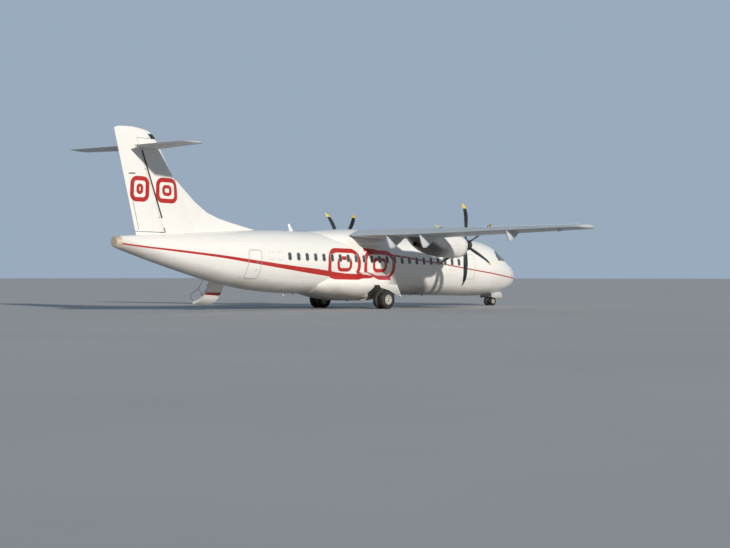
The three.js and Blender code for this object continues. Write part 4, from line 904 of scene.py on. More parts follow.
def piece(name: str, shape: Shape, finish: Finish, extra: dict[str, np.ndarray] | None = None) -> None:
    """Adds a shape to the scene as a finished piece that rides on its body.

    Args:
        name: Name of the object.
        shape: Shape in the airframe's millimetres.
        finish: Its material, body and node.
        extra: Further vector attributes, one row per point.
    """
    mesh = bpy.data.meshes.new(name)
    points = shape.points if finish.turn is None else finish.turn.apply(shape.points)
    mesh.from_pydata(AIRFRAME.to_row(points).tolist(), [], [list(f) for f in shape.faces])
    for key, values in {"airframe": shape.points / MM, **(extra or {})}.items():
        attribute = mesh.attributes.new(key, "FLOAT_VECTOR", "POINT")
        attribute.data.foreach_set("vector", np.asarray(values, np.float32).ravel())
    mesh.update()
    mesh.shade_smooth()
    mesh.set_sharp_from_angle(angle=math.radians(finish.angle))
    obj = linked(mesh, name)
    mesh.materials.append(PALETTE.get(finish.material))
    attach(obj, finish.body)
    if finish.replaces:
        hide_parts(*finish.replaces)
        REPLACED.update(finish.replaces)
    LOG.info("%s: %d faces on %s", name, len(mesh.polygons), finish.body)


def pair(name: str, shape: Shape, material: str, slot: str, body: str = "airframe", **more: object) -> None:
    """Adds a port shape to the scene on both sides.

    Args:
        name: Name of the piece, with a star where the side's word goes.
        shape: Shape of the piece on the port side.
        material: Name of its finish in the palette.
        slot: Material slot of the record.
        body: Body that it rides on, with a star for the side.
        more: Further fields of its finish; a star in a replaced node stands for the side.
    """
    for side in Side:
        nodes = tuple(node.replace("*", side.word) for node in more.get("replaces", ()))
        finish = Finish(material, slot, body.replace("*", side.word), **{**more, "replaces": nodes})
        piece(name.replace("*", side.word), shape.on(side), finish)


def cad_shape(node: str) -> Shape:
    """Shape of a CAD node, its doubles merged and its flat faces made whole."""
    bm = bmesh.new()
    bm.from_mesh(frame["nodes"][node].data)
    bmesh.ops.remove_doubles(bm, verts=bm.verts, dist=2e-5)
    bmesh.ops.dissolve_limit(bm, angle_limit=math.radians(0.2), verts=bm.verts, edges=bm.edges)
    points = AIRFRAME.from_row(np.array([v.co[:] for v in bm.verts]))
    bm.verts.index_update()
    faces = [tuple(v.index for v in f.verts) for f in bm.faces]
    bm.free()
    return Shape(points, faces)


# Fuselage


@dataclass
class Fuselage:
    """Skin of the fuselage in its sections, from the radome to the tail cap."""

    sides: int = 112
    rows: tuple[Row, ...] = (
        (0, -400, -440, 20, -420), (40, -250, -570, 150, -418), (120, -130, -665, 262, -415),
        (300, 50, -810, 440, -400), (600, 225, -970, 660, -365), (1000, 385, -1115, 870, -300),
        (1360, 490, -1205, 1020, -230), (1600, 665, -1255, 1100, -180), (2150, 1045, -1345, 1240, -90),
        (2500, 1195, -1385, 1315, -55), (3100, 1345, -1420, 1395, -15), (3700, 1415, -1432, 1427, 0),
        (4300, 1432.5, -1432.5, 1432.5, 0), (16300, 1432.5, -1432.5, 1432.5, 0), (17600, 1425, -1405, 1415, 15),
        (19300, 1370, -1305, 1330, 85), (20500, 1300, -1150, 1200, 170), (21700, 1225, -950, 1040, 260),
        (23200, 1120, -620, 815, 360), (24400, 1035, -330, 640, 425), (25500, 960, -50, 475, 500),
        (26850, 872, 320, 285, 600), (27040, 850, 375, 235, 612), (27090, 800, 430, 180, 615),
    )
    joints: tuple[float, ...] = (0, 950, 3350, 5150, 19700, 21050, 26860, 27090)
    seat: float = 0.15
    airstair: tuple[float, ...] = (19950, 20750, -780, 970, 90)
    cargo: tuple[float, ...] = (3630, 4905, -780, 750, 90)
    service: tuple[float, ...] = (19840, 20480, -780, 430, 110)
    gap: float = 7.0
    glazing: tuple[Pair, ...] = (
        (1250, 520), (1640, 380), (2760, 400), (2870, 600), (2760, 850), (2120, 1000), (1900, 1250), (1200, 900))
    pane_middle: Pair = (2100, 700)
    pane_gap: float = 6.0
    across: float = 1600.0
    through: float = 1700.0
    doorway_inner: float = 320.0
    service_inner: float = 500.0
    nose_bay: Row = (1180, 2180, -240, 240, -1900, -860)

    def __post_init__(self) -> None:
        """Prepares the smooth columns."""
        self.curve = Curve(self.rows)

    def section(self, s: float) -> tuple[float, float, float, float]:
        """Top, bottom, half width and widest height at a station."""
        return tuple(self.curve.at(s, column) for column in (1, 2, 3, 4))

    def ring(self, s: float, grow: float) -> list[Vec]:
        """Points around the fuselage at a station."""
        return oval(s, 0, self.section(s), self.sides, grow)

    def skin_height(self, s: float, y: float) -> float:
        """Height of the upper skin at a station and width."""
        top, _, half, wide = self.section(s)
        return wide + (top - wide) * math.sqrt(1 - (y / half) ** 2)

    def half_width(self, s: float, w: float) -> float:
        """Half width of the fuselage at a station and height."""
        top, bottom, half, wide = self.section(s)
        reach = (w - wide) / (top - wide) if w > wide else (wide - w) / (wide - bottom)
        return half * math.sqrt(max(0.0, 1 - reach**2))

    def hull(self, start: float, end: float, grow: float = 0.0) -> Shape:
        """Closed length of the fuselage."""
        step = 70 if start < 3400 else (600 if start < 15000 and end < 17000 else 220)
        inner = [s for s in np.arange(math.ceil(start / step) * step, end, step) if start + 8 < s < end - 8]
        if start < 10:
            inner = [8, 20, 40, 60, *[s for s in inner if s > 62]]
        return loft([self.ring(s, grow) for s in [start, *inner, end]])

    def door_prism(self, door: Row, grow: float, inner: float, side: int) -> Shape:
        """Round-cornered prism through one side of the fuselage."""
        a, b, low, high, r = door[0] - grow, door[1] + grow, door[2] - grow, door[3] + grow, door[4] + grow
        outline = []
        for s, w, quarter in ((b - r, high - r, 0), (a + r, high - r, 1), (a + r, low + r, 2), (b - r, low + r, 3)):
            for i in range(9):
                t = (quarter + i / 8) * math.pi / 2
                outline.append((s + r * math.cos(t), w + r * math.sin(t)))
        return prism(outline, side * inner, side * self.through)

    def shell(self, door: Row, side: int, depth: float, reach: float, step: float = 0.0, past: float = 400) -> Shape:
        """Round-cornered length of the skin, to a depth below it."""
        return carved(self.hull(door[0] - reach, door[1] + reach), [
            (self.hull(door[0] - past, door[1] + past, -depth), Carve.CUT),
            (self.door_prism(door, -step, self.service_inner, side), Carve.KEEP)])

    def panel(self, door: Row, depth: float, lip: float, step: float) -> Shape:
        """Curved port door panel with a lip."""
        return carved(self.shell(door, 1, lip, 200), [(self.shell(door, 1, depth, 200, step), Carve.ADD)])

    def build(self) -> None:
        """Makes every section and the service door."""
        s = self.joints
        room = carved(prism(self.glazing, -self.across, self.across), [
            (self.hull(s[1] - 200, s[2] + 200, -24), Carve.CUT)])
        service = carved(self.door_prism(self.service, self.gap, self.service_inner, -1), [
            (self.hull(s[4] - 400, s[5] + 400, -28), Carve.CUT)])
        cut_outs = {
            "nose": [room, box(*self.nose_bay)],
            "forward": [self.door_prism(self.cargo, self.gap, self.doorway_inner, 1)],
            "entry": [self.door_prism(self.airstair, self.gap, self.doorway_inner, 1), service],
        }
        nodes = ("radome", "nose_section", "cargo_section", "cabin_section", "entry_section", "tail_section",
                 "tail_cap")
        for i, (name, node) in enumerate(zip(("radome", "nose", "forward", "cabin", "entry", "tail", ""), nodes)):
            start = s[i] + (self.seat if i else 0)
            shape = self.hull(start, s[i + 1] - (self.seat if node != "tail_cap" else 0))
            if name in cut_outs:
                shape = carved(shape, [(tool, Carve.CUT) for tool in cut_outs[name]])
            slot = {"radome": "radome_paint", "tail_cap": "tail_metal"}.get(node, "white_paint")
            look = "tail_metal" if node == "tail_cap" else "livery"
            piece(f"{name}_skin" if name else "tail_end", shape, Finish(look, slot, replaces=(node,)))
        around_door = carved(self.hull(s[4] + 50, s[5] - 50), [
            (self.hull(s[4] - 350, s[5] + 350, -27.7), Carve.CUT),
            (self.door_prism(self.service, 0, self.service_inner, -1), Carve.KEEP)])
        piece("service_door_skin", around_door, Finish("livery", "white_paint", replaces=("service_door",)))

    def glass(self) -> None:
        """Makes the flight deck's panes, a little smaller than their opening."""
        s0, s1 = self.joints[1], self.joints[2]
        (c, d), gap = self.pane_middle, self.pane_gap
        shrunk = [(a + (c - a) * gap / math.hypot(a - c, b - d), b + (d - b) * gap / math.hypot(a - c, b - d))
                  for a, b in self.glazing]
        panes = carved(self.hull(s0, s1, -5), [(self.hull(s0 - 200, s1 + 200, -23), Carve.CUT),
                                               (prism(shrunk, -self.across, self.across), Carve.KEEP)])
        piece("flight_deck_panes", panes, Finish("glass", "glazing", replaces=("flight_deck_glazing",)))


FUSELAGE = Fuselage()


# Rows of like parts


class PartRow:
    """Geometry Nodes tree that repeats one part along a line, with a turn for each step."""

    def __init__(self) -> None:
        """Builds the tree and its named inputs."""
        tree = bpy.data.node_groups.new("row_of_parts", "GeometryNodeTree")
        self.tree, self.sockets = tree, {}
        tree.interface.new_socket(name="Geometry", in_out="INPUT", socket_type="NodeSocketGeometry")
        tree.interface.new_socket(name="Geometry", in_out="OUTPUT", socket_type="NodeSocketGeometry")
        for name, kind in (("Count", "Int"), ("Step", "Vector"), ("Turn", "Vector"), ("Part", "Object"),
                           ("Finish", "Material")):
            socket = tree.interface.new_socket(name=name, in_out="INPUT", socket_type=f"NodeSocket{kind}")
            self.sockets[name] = socket.identifier
        entry, leave = tree.nodes.new("NodeGroupInput"), tree.nodes.new("NodeGroupOutput")
        line, index = tree.nodes.new("GeometryNodeMeshLine"), tree.nodes.new("GeometryNodeInputIndex")
        turn, info = tree.nodes.new("ShaderNodeVectorMath"), tree.nodes.new("GeometryNodeObjectInfo")
        copies, real = tree.nodes.new("GeometryNodeInstanceOnPoints"), tree.nodes.new("GeometryNodeRealizeInstances")
        paint = tree.nodes.new("GeometryNodeSetMaterial")
        turn.operation = "SCALE"
        for source, target in (
            (entry.outputs["Count"], line.inputs["Count"]), (entry.outputs["Step"], line.inputs["Offset"]),
            (entry.outputs["Turn"], turn.inputs[0]), (index.outputs[0], turn.inputs["Scale"]),
            (entry.outputs["Part"], info.inputs["Object"]), (line.outputs[0], copies.inputs["Points"]),
            (info.outputs["Geometry"], copies.inputs["Instance"]), (turn.outputs[0], copies.inputs["Rotation"]),
            (copies.outputs[0], real.inputs[0]), (real.outputs[0], paint.inputs["Geometry"]),
            (entry.outputs["Finish"], paint.inputs["Material"]), (paint.outputs[0], leave.inputs[0]),
        ):
            tree.links.new(source, target)

    def repeat(self, part: Shape, count: int, finish: str, step: Vec = (0, 0, 0), turn: Vec = (0, 0, 0)) -> Shape:
        """Copies of a part.

        Args:
            part: The part, where its first copy stands.
            count: Number of copies.
            finish: Name of the finish that the tree sets.
            step: Station, width and height from one copy to the next, in millimetres.
            turn: Turn in degrees about x, y and z for each step.

        Returns:
            One shape that holds every copy.
        """
        sample = linked(raw_mesh(part, "part"), "part")
        host = linked(bpy.data.meshes.new("row"), "row")
        modifier = host.modifiers.new("row", "NODES")
        modifier.node_group = self.tree
        values = {"Count": count, "Step": (-step[0] / MM, step[1] / MM, step[2] / MM), "Part": sample,
                  "Turn": tuple(math.radians(v) for v in turn), "Finish": PALETTE.get(finish)}
        for key, value in values.items():
            modifier[self.sockets[key]] = value
        return taken(host, [sample])


def rounded(long: float, tall: float, corner: float, steps: int = 7) -> list[Pair]:
    """Round-cornered outline about its middle."""
    outline = []
    for quarter, (a, b) in enumerate(((1, 1), (-1, 1), (-1, -1), (1, -1))):
        for i in range(steps):
            t = (quarter + i / (steps - 1)) * math.pi / 2
            outline.append((a * (long - corner) + corner * math.cos(t), b * (tall - corner) + corner * math.sin(t)))
    return outline


def rim_of(outer: Outline, inner: Outline, back: float, front: float, chamfer: float) -> Shape:
    """Flat frame between two outlines; its y is the distance out of the skin."""
    rings = []
    for (a, b), (c, d) in zip(outer, inner):
        rings.append([(a, back, b), (a, front - chamfer, b), (a + 0.2 * (c - a), front, b + 0.2 * (d - b)),
                      (c - 0.2 * (c - a), front, d - 0.2 * (d - b)), (c, front - chamfer, d), (c, back, d)])
    return loft(rings, closed_ends=False, loop=True)


def crowned(outline: Outline, back: float, front: float, crown: float) -> Shape:
    """Slightly crowned plate; its y is the distance out of the skin."""
    return loft([[(a * k, y, b * k) for a, b in outline]
                 for k, y in ((1.0, back), (1.0, front), (0.75, front + 0.6 * crown), (0.4, front + 0.9 * crown),
                              (0.03, front + crown))])


def laid_on_skin(shape: Shape) -> Shape:
    """Shape whose y is the distance out of the skin, laid on the port side of the fuselage."""
    points = shape.points.copy()
    for point in points:
        point[1] += FUSELAGE.half_width(point[0], point[2])
    return Shape(points, list(shape.faces)).outward()


@dataclass
class CabinWindows:
    """Rows of cabin windows on both sides, with their frames and the plugged ones."""

    first: float = 6174.0
    pitch: float = 545.0
    count: int = 23
    height: float = 225.0
    half_long: float = 122.0
    half_tall: float = 188.0
    corner: float = 100.0
    plugs: tuple[float, ...] = (5629.0, 18709.0, 19254.0)

    def build(self, row: PartRow) -> None:
        """Makes frames, panes and plugs."""
        outer = rounded(self.half_long, self.half_tall, self.corner)
        inner = rounded(self.half_long - 26, self.half_tall - 26, self.corner - 24)
        ring = rim_of(outer, inner, -8, 5, 2).moved(self.first, 0, self.height)
        pane = crowned(rounded(self.half_long - 25, self.half_tall - 25, self.corner - 23), -6, 1.5, 2.0)
        frames = row.repeat(ring, self.count, "frame", (self.pitch, 0, 0))
        panes = row.repeat(pane.moved(self.first, 0, self.height), self.count, "glass", (self.pitch, 0, 0))
        pair("window_frames_*", laid_on_skin(frames), "frame", "white_paint")
        pair("window_panes_*", laid_on_skin(panes), "glass", "glazing", angle=60)
        blank = crowned(outer, -6, 2.0, 1.2)
        edge = rim_of([(a * 1.12, b * 1.07) for a, b in outer], outer, -6, 2.4, 0.8)
        for i, s in enumerate(self.plugs):
            for name, shape, look in (("window_plug", blank, "white"), ("window_plug_rim", edge, "frame")):
                pair(f"{name}_*_{i}", laid_on_skin(shape.moved(s, 0, self.height)), look, "white_paint")


@dataclass
class FlightDeck:
    """Posts between the flight-deck panes, the wipers and the sensors on the nose."""

    post: float = 46.0
    bead: float = 26.0
    posts: tuple[tuple[Pair, ...], ...] = (
        ((1735, 375), (1890, 640), (2010, 840), (2150, 1010)),
        ((2330, 385), (2390, 620), (2420, 830), (2400, 960)),
    )
    beads: tuple[tuple[Pair, ...], ...] = (
        ((1640, 372), (2200, 382), (2765, 392), (2878, 602)), ((2878, 602), (2765, 858), (2440, 935), (2120, 1008)))
    probes: tuple[Pair, ...] = ((1180, -210), (1240, -330), (1330, -60))
    middle_post: tuple[Pair, ...] = ((-27, -9), (-27, 2.5), (-20, 4), (20, 4), (27, 2.5), (27, -9))
    middle_ends: Pair = (1376, 2092)
    wiper: Row = (1420, 90, 430, 330)

    def ribbon(self, path: Outline, width: float, proud: float) -> Shape:
        """Strip that follows the skin along a path seen from the side."""
        fine: list[Pair] = []
        for (s0, w0), (s1, w1) in zip(path, path[1:]):
            steps = max(2, int(math.hypot(s1 - s0, w1 - w0) / 40))
            fine += [(s0 + (s1 - s0) * i / steps, w0 + (w1 - w0) * i / steps) for i in range(steps)]
        fine.append(path[-1])
        rings = []
        for i, (s, w) in enumerate(fine):
            (s0, w0), (s1, w1) = fine[max(i - 1, 0)], fine[min(i + 1, len(fine) - 1)]
            reach = math.hypot(s1 - s0, w1 - w0)
            across = (-(w1 - w0) / reach, (s1 - s0) / reach)
            ring = []
            for k, out in ((-0.5, -9), (-0.5, proud - 1), (-0.38, proud), (0.38, proud), (0.5, proud - 1), (0.5, -9)):
                a, b = s + across[0] * k * width, w + across[1] * k * width
                ring.append((a, FUSELAGE.half_width(a, b) + out, b))
            rings.append(ring)
        return loft(rings)

    def build(self) -> None:
        """Makes the posts, the wipers and the sensors."""
        strips = [self.ribbon(path, self.post, 3.5) for path in self.posts]
        strips += [self.ribbon(path, self.bead, 3.0) for path in self.beads]
        strips = [strip.on(side) for strip in strips for side in Side]
        strips.append(loft([[(s, y, FUSELAGE.skin_height(s, y) + out) for y, out in self.middle_post]
                            for s in np.linspace(*self.middle_ends, 20)]))
        piece("flight_deck_posts", joined(strips), Finish("frame", "white_paint"))
        s, y, long, wide = self.wiper
        arm = [(s + long * t, y + wide * t, FUSELAGE.skin_height(s + long * t, y + wide * t) + 14
                + 10 * math.sin(t * 3)) for t in np.linspace(0, 1, 9)]
        s, y, w = arm[0]
        wiper = (tube(arm, 6), bar(arm[0], (s - 20, y, w - 34), 16))
        wipers = [shape.on(side) for side in Side for shape in wiper]
        piece("wipers", joined(wipers), Finish("seal", "spinner_paint"))
        probes = []
        for s, w in self.probes:
            y = FUSELAGE.half_width(s, w)
            probe = (bar((s, y - 8, w), (s - 10, y + 62, w), 11, 8),
                     bar((s + 10, y + 62, w), (s - 115, y + 62, w), 9, 6))
            probes += [shape.on(side) for side in Side for shape in probe]
        piece("pitot_probes", joined(probes), Finish("steel", "gear_steel"))


@dataclass
class Doors:
    """Airstair and cargo door with their inner sides and handles, and the service door's handle."""

    steps: int = 6
    open_by: float = 136.0
    depth: float = 60.0
    lip: float = 16.0
    rise: float = 262.0
    hinge_ends: float = 240.0
    tread_ends: Pair = (20075, 20625)
    nosing_ends: Pair = (20070, 20630)
    stringers: Pair = (20035, 20640)
    rails: Pair = (20046, 20651)
    cargo_ribs: Row = (3760, 4775, 6)
    cargo_beams: Row = (-560, -140, 300)

    def __post_init__(self) -> None:
        """Finds the hinge lines."""
        stair, cargo = FUSELAGE.airstair, FUSELAGE.cargo
        self.stair_hinge = (FUSELAGE.half_width(stair[0], stair[2]), stair[2])
        self.cargo_hinge = (FUSELAGE.half_width(cargo[1], cargo[3]), cargo[3])
        self.turn = Turn((0, *self.stair_hinge), self.open_by)

    def build(self) -> None:
        """Makes the doors and all that is on them."""
        self._airstair()
        self._cargo_door()
        handle = self._handle((70, 16, 14), 7, (20020, 0, -100)).on(Side.RIGHT)
        piece("service_door_handle", handle, Finish("steel", "white_paint"))

    @staticmethod
    def _handle(size: Vec, proud: float, at: Vec) -> Shape:
        """Flush handle on the port skin."""
        return laid_on_skin(crowned(rounded(*size, 4), -4, proud, 3).moved(*at))

    def _panel(self, door: Row, hinge: Pair, far: float, leaves: Sequence[Shape] = ()) -> Shape:
        """Door panel that clears its frame as it turns, with its leaves and round bosses near both its ends."""
        edge = max(FUSELAGE.half_width(door[0], far), FUSELAGE.half_width(door[1], far))
        radius = math.hypot(edge - hinge[0], far - hinge[1])
        swept = bar((door[0] - 100, *hinge), (door[1] + 100, *hinge), radius, sides=180)
        skin = carved(FUSELAGE.panel(door, self.depth, self.lip, 10), [(swept, Carve.KEEP)])
        bosses = [bar((s - 40, *hinge), (s + 40, *hinge), 12) for s in self._ends(door)]
        return joined([skin, *leaves, *bosses])

    def _ends(self, door: Row) -> Pair:
        """Stations of a door's two hinges."""
        return door[0] + self.hinge_ends, door[1] - self.hinge_ends

    @staticmethod
    def _strip(stations: Sequence[float], outline: Outline, thick: float) -> Shape:
        """Upright rib that follows a door's inner side."""
        ring = [*outline, *((y - thick, w) for y, w in reversed(outline))]
        return loft([[(s, y, w) for y, w in ring] for s in stations])

    def _airstair(self) -> None:
        """Makes the airstair in its closed place and lets it down."""
        door, (hinge, foot) = FUSELAGE.airstair, self.stair_hinge
        leaves = [box(s - 39.7, s + 39.7, FUSELAGE.half_width(s, foot) - 30, hinge, foot, foot + 14)
                  for s in self._ends(door)]
        panel = self._panel(door, self.stair_hinge, door[3], leaves)
        piece("airstair_skin", panel,
              Finish("livery", "white_paint", "airstair_door", ("airstair_door",), turn=self.turn))
        c, s = math.cos(math.radians(self.open_by)), math.sin(math.radians(self.open_by))
        out, up = (c * 230, s * 230), (-s * 13, c * 13)

        def inside(w: float, off: float) -> Pair:
            """Point below the narrower end of the door's skin."""
            return min(FUSELAGE.half_width(20000, w), FUSELAGE.half_width(20700, w)) - off, w

        def plank(y: float, w: float, ends: Pair, span: Pair, half: float) -> Shape:
            """Board that is level when the airstair is down."""
            corners = ((span[0], -half), (span[1], -half), (span[1], half), (span[0], half))
            quad = [(y + a * out[0] + b * up[0], w + a * out[1] + b * up[1]) for a, b in corners]
            return loft([[(at, *q) for q in quad] for at in ends])

        feet = [inside(-640 + i * self.rise, 58) for i in range(self.steps)]
        treads = [plank(y, w, self.tread_ends, (-0.1, 0.9), 1) for y, w in feet]
        noses = [plank(y, w, self.nosing_ends, (0.91, 0.99), 1.3) for y, w in feet]
        outline = [inside(w, 54) for w in np.linspace(-700, 900, 18)]
        sides = [self._strip((at, at + 22), outline, 120) for at in self.stringers]
        rails = []
        for at in self.rails:
            a, b, d = (FUSELAGE.half_width(at, w) - 160 for w in (-420, 240, 800))
            rails += [tube([(at, a - 60, -560), (at, a - 360, -430), (at, b - 440, 240), (at, d - 420, 760),
                            (at, d - 330, 860), (at, d - 40, 870)], 15),
                      tube([(at, b + 20, 240), (at, b - 430, 240)], 12)]
        for name, shapes, look, slot in (
                ("treads", treads, "tread", "gear_steel"), ("nosings", noses, "steel", "gear_steel"),
                ("stringers", sides, "white", "white_paint"), ("rails", rails, "steel", "gear_steel")):
            piece(f"airstair_{name}", joined(shapes), Finish(look, slot, "airstair_door", turn=self.turn))

    def _cargo_door(self) -> None:
        """Makes the cargo door with its inner frames and handle."""
        door = FUSELAGE.cargo
        panel = self._panel(door, self.cargo_hinge, door[2])
        piece("cargo_door_skin", panel, Finish("livery", "white_paint", "cargo_door", ("cargo_door",)))
        ribs = []
        for s in np.linspace(*self.cargo_ribs):
            outline = [(FUSELAGE.half_width(s, w) - 56, w) for w in np.linspace(-690, 560, 16)]
            ribs.append(self._strip((s - 11, s + 11), outline, 42))
        for w in self.cargo_beams:
            ribs.append(loft([[(s, FUSELAGE.half_width(s, w) - d, w + h) for d, h in
                               ((57, -18), (57, 18), (84, 18), (84, -18))] for s in np.linspace(3740, 4795, 12)]))
        piece("cargo_door_frames", joined(ribs), Finish("white", "white_paint", "cargo_door"))
        handle = self._handle((90, 24, 20), 6, (4265, 0, -560))
        piece("cargo_door_handle", handle, Finish("steel", "white_paint", "cargo_door"))


# Wings and tail surfaces


def foil_height(share: float, thickness: float, camber: float = 0.0) -> Pair:
    """Upper and lower height of a section at a share of a chord of one."""
    half = 5 * thickness * (0.2969 * math.sqrt(share) - 0.126 * share - 0.3516 * share**2 + 0.2843 * share**3
                            - 0.1036 * share**4) + 0.0016 * share
    p = 0.4
    rise = 2 * p * share - share**2
    line = camber / p**2 * rise if share < p else camber / (1 - p) ** 2 * (1 - 2 * p + rise)
    return line + half, line - half


def foil_path(steps: int, last: float = 1.0) -> list[tuple[float, int]]:
    """Shares of the chord along the upper side to the leading edge and back along the lower side."""
    shares = [last * (1 - math.cos(math.pi / 2 * (1 - i / steps))) for i in range(steps + 1)]
    return [(s, 0) for s in shares] + [(s, 1) for s in reversed(shares[:-1])]


def offset(path: Outline, distance: float) -> list[Pair]:
    """Path moved sideways, to the left of its run."""
    moved = []
    for i, (a, b) in enumerate(path):
        (a0, b0), (a1, b1) = path[max(i - 1, 0)], path[min(i + 1, len(path) - 1)]
        reach = math.hypot(a1 - a0, b1 - b0)
        moved.append((a - (b1 - b0) / reach * distance, b + (a1 - a0) / reach * distance))
    return moved


def boot_outline(path: Outline) -> list[Pair]:
    """Outline of a thin boot on both sides of a leading edge's skin."""
    return [*offset(path, -3.0), *reversed(offset(path, 2.0))]


@dataclass
class Wing:
    """Wing with its flaps, ailerons, hinge fairings, boots, lights and small fittings."""

    rows: tuple[Row, ...] = (
        (0, 11350, 2570, 1270, 2.2, 0.18), (4500, 11350, 2570, 1300, 2.2, 0.18), (13400, 12010, 1600, 1490, 0.8, 0.13),
        (13480, 12050, 1510, 1494, 0.8, 0.095), (13525, 12150, 1330, 1500, 0.8, 0.035),
    )
    steps: int = 26
    camber: float = 0.02
    flap_share: float = 0.77
    aileron_share: float = 0.74
    flaps: tuple[tuple[str, Row, tuple[Pair, ...]], ...] = (
        ("flap_inboard", (1500, 3540, 730, 715), ((3300, 75),)),
        ("flap_outboard", (4560, 10150, 690, 968), ((5250, 75), (10010, 65))))
    aileron: Row = (10230, 13260)
    aileron_lugs: tuple[float, ...] = (11000, 12400)
    tab: Pair = (10500, 11700)
    cove: float = 9.0
    boots: tuple[Row, ...] = ((1560, 3440), (4720, 8700), (8715, 13380))
    vanes: int = 28
    vane_span: Pair = (7600, 13000)
    vane_share: float = 0.42
    wicks: Row = (10500, 11400, 12300, 13100)
    caps: Pair = (5600, 9100)
    keel_y: float = 12400.0

    def __post_init__(self) -> None:
        """Prepares the straight columns."""
        self.curve = Curve(self.rows, straight=True)

    def values(self, y: float) -> tuple[float, ...]:
        """Leading edge, chord, trailing height, incidence and thickness at a span station."""
        return tuple(self.curve.at(abs(y), column) for column in (1, 2, 3, 4, 5))

    def section(self, y: float, grow: float = 0.0, steps: int = 0, last: float = 1.0) -> list[Pair]:
        """Stations and heights around the wing at a span station."""
        leading, chord, trailing, incidence, thickness = self.values(y)
        tilt = math.tan(math.radians(incidence))
        path = []
        for share, side in foil_path(steps or self.steps, last):
            height = foil_height(share, thickness, self.camber)[side] * chord
            out = grow * (1 - 2 * side) if share > 0 else 0
            path.append((leading + share * chord + grow * (2 * share - 1),
                         trailing + (1 - share) * chord * tilt + height + out))
        return path

    def blank(self, grow: float = 0.0) -> Shape:
        """Whole wing without its cut-outs."""
        outer = [4500, 6700, 8900, 11100, 13400, 13445, 13480, 13505, 13525]
        spans = [-y for y in reversed(outer)] + outer
        return loft([[(s, y + math.copysign(grow, y), w) for s, w in self.section(y, grow)] for y in spans])

    def middle(self, y: float, share: float) -> Vec:
        """Station, middle height and half thickness at a share of the chord."""
        leading, chord, trailing, incidence, thickness = self.values(y)
        upper, lower = foil_height(share, thickness, self.camber)
        base = trailing + (1 - share) * chord * math.tan(math.radians(incidence))
        return leading + share * chord, base + (upper + lower) / 2 * chord, (upper - lower) / 2 * chord

    def behind(self, span: Row, share: float, grow: float, end: float) -> Shape:
        """Everything aft of a round nose between two span stations."""
        rings = []
        for y, sign in ((span[0], -1), (span[1], 1)):
            s, w, half = self.middle(y, share)
            radius = half + grow
            start = math.acos(-grow / radius) if grow else math.pi / 2
            nose = []
            for k in range(21):
                t = start + (2 * math.pi - 2 * start) * k / 20
                nose.append((s + radius * math.cos(t), w + radius * math.sin(t)))
            outline = [(s + 1200, w + 420), (s - grow, w + 420), *nose, (s - grow, w - 420), (s + 1200, w - 420)]
            rings.append([(a, y + sign * end, b) for a, b in outline])
        return loft(rings)

    def keel(self, s: float, y: float, top: float, bottom: float, half: float) -> list[Vec]:
        """Section of a hinge fairing, round at its foot."""
        depth = max(top - bottom, 12)
        ring = [(s, y + half, top)]
        for k in range(13):
            t = math.pi * k / 12
            across = math.cos(t)
            down = 0.45 + 0.55 * math.sin(t) ** 0.8
            ring.append((s, y + half * math.copysign(abs(across) ** 0.75, across), top - depth * down))
        return [*ring, (s, y - half, top)]

    def fairing(self, flap: Row, y: float, half: float) -> list[Shape]:
        """Fixed and moving length of one flap hinge fairing."""
        hinge_s, hinge_w, hinge_half = self.middle(y, self.flap_share)
        low = flap[2] + (y - flap[0]) / (flap[1] - flap[0]) * (flap[3] - flap[2])
        start, end = self.middle(y, 0.48), self.middle(y, 0.985)
        front_rows = ((start[0], start[1], start[1] - start[2] * 0.9, half * 0.5),
                      ((hinge_s + start[0]) / 2, hinge_w, (low + start[1] - start[2]) / 2 - 20, half),
                      (hinge_s - 3, hinge_w - hinge_half * 0.6, low, half))
        rear_rows = ((hinge_s + 3, hinge_w, low, half),
                     (hinge_s + 0.36 * (end[0] - hinge_s), hinge_w, low - 42, half),
                     (end[0], end[1], end[1] - 18, half * 0.35))
        return [loft([self.keel(s, y, *(Curve(rows).at(s, c) for c in (1, 2, 3)))
                      for s in np.linspace(rows[0][0], rows[-1][0], 14)]) for rows in (front_rows, rear_rows)]

    def hinge(self, flap: Row, y: float) -> Vec:
        """Point on a flap's hinge line."""
        t = (y - flap[0]) / (flap[1] - flap[0])
        a, b = self.middle(flap[0], self.flap_share)[0], self.middle(flap[1], self.flap_share)[0]
        return a + t * (b - a), y, flap[2] + t * (flap[3] - flap[2])

    def build(self, row: PartRow) -> None:
        """Makes the wing, its moving surfaces and their fittings."""
        blank = self.blank()
        added: list[Shape] = []
        for name, flap, places in self.flaps:
            rears, bosses = [], []
            for y, half in places:
                front, rear = self.fairing(flap, y, half)
                s, _, w = self.hinge(flap, y)
                bosses.append(bar((s, y - 20, w), (s, y + 20, w), 24))
                added.append(carved(front, [(bar((s, y - 21, w), (s, y + 21, w), 25), Carve.CUT)]))
                rears.append((rear, Carve.ADD))
            moving = carved(blank, [(self.behind(flap, self.flap_share, 0, 0), Carve.KEEP)])
            pair(f"{name}_*_skin", joined([carved(moving, rears), *bosses]), "wing", "wing_paint", f"{name}_*",
                 replaces=(f"{name}_*",), angle=40)
        added.append(self._aileron_keel())
        rooms = [self.behind(flap, self.flap_share, self.cove, 32) for _, flap, _ in self.flaps]
        rooms.append(self.behind(self.aileron, self.aileron_share, self.cove, 16))
        tools = [(shape.on(side), how) for shapes, how in ((added, Carve.ADD), (rooms, Carve.CUT))
                 for shape in shapes for side in Side]
        wing = joined([carved(blank, tools), *self._lugs()])
        piece("wing_skin", wing, Finish("wing", "wing_paint", replaces=("wing",), angle=40))
        self._ailerons(blank)
        self._boots()
        self._details(row)

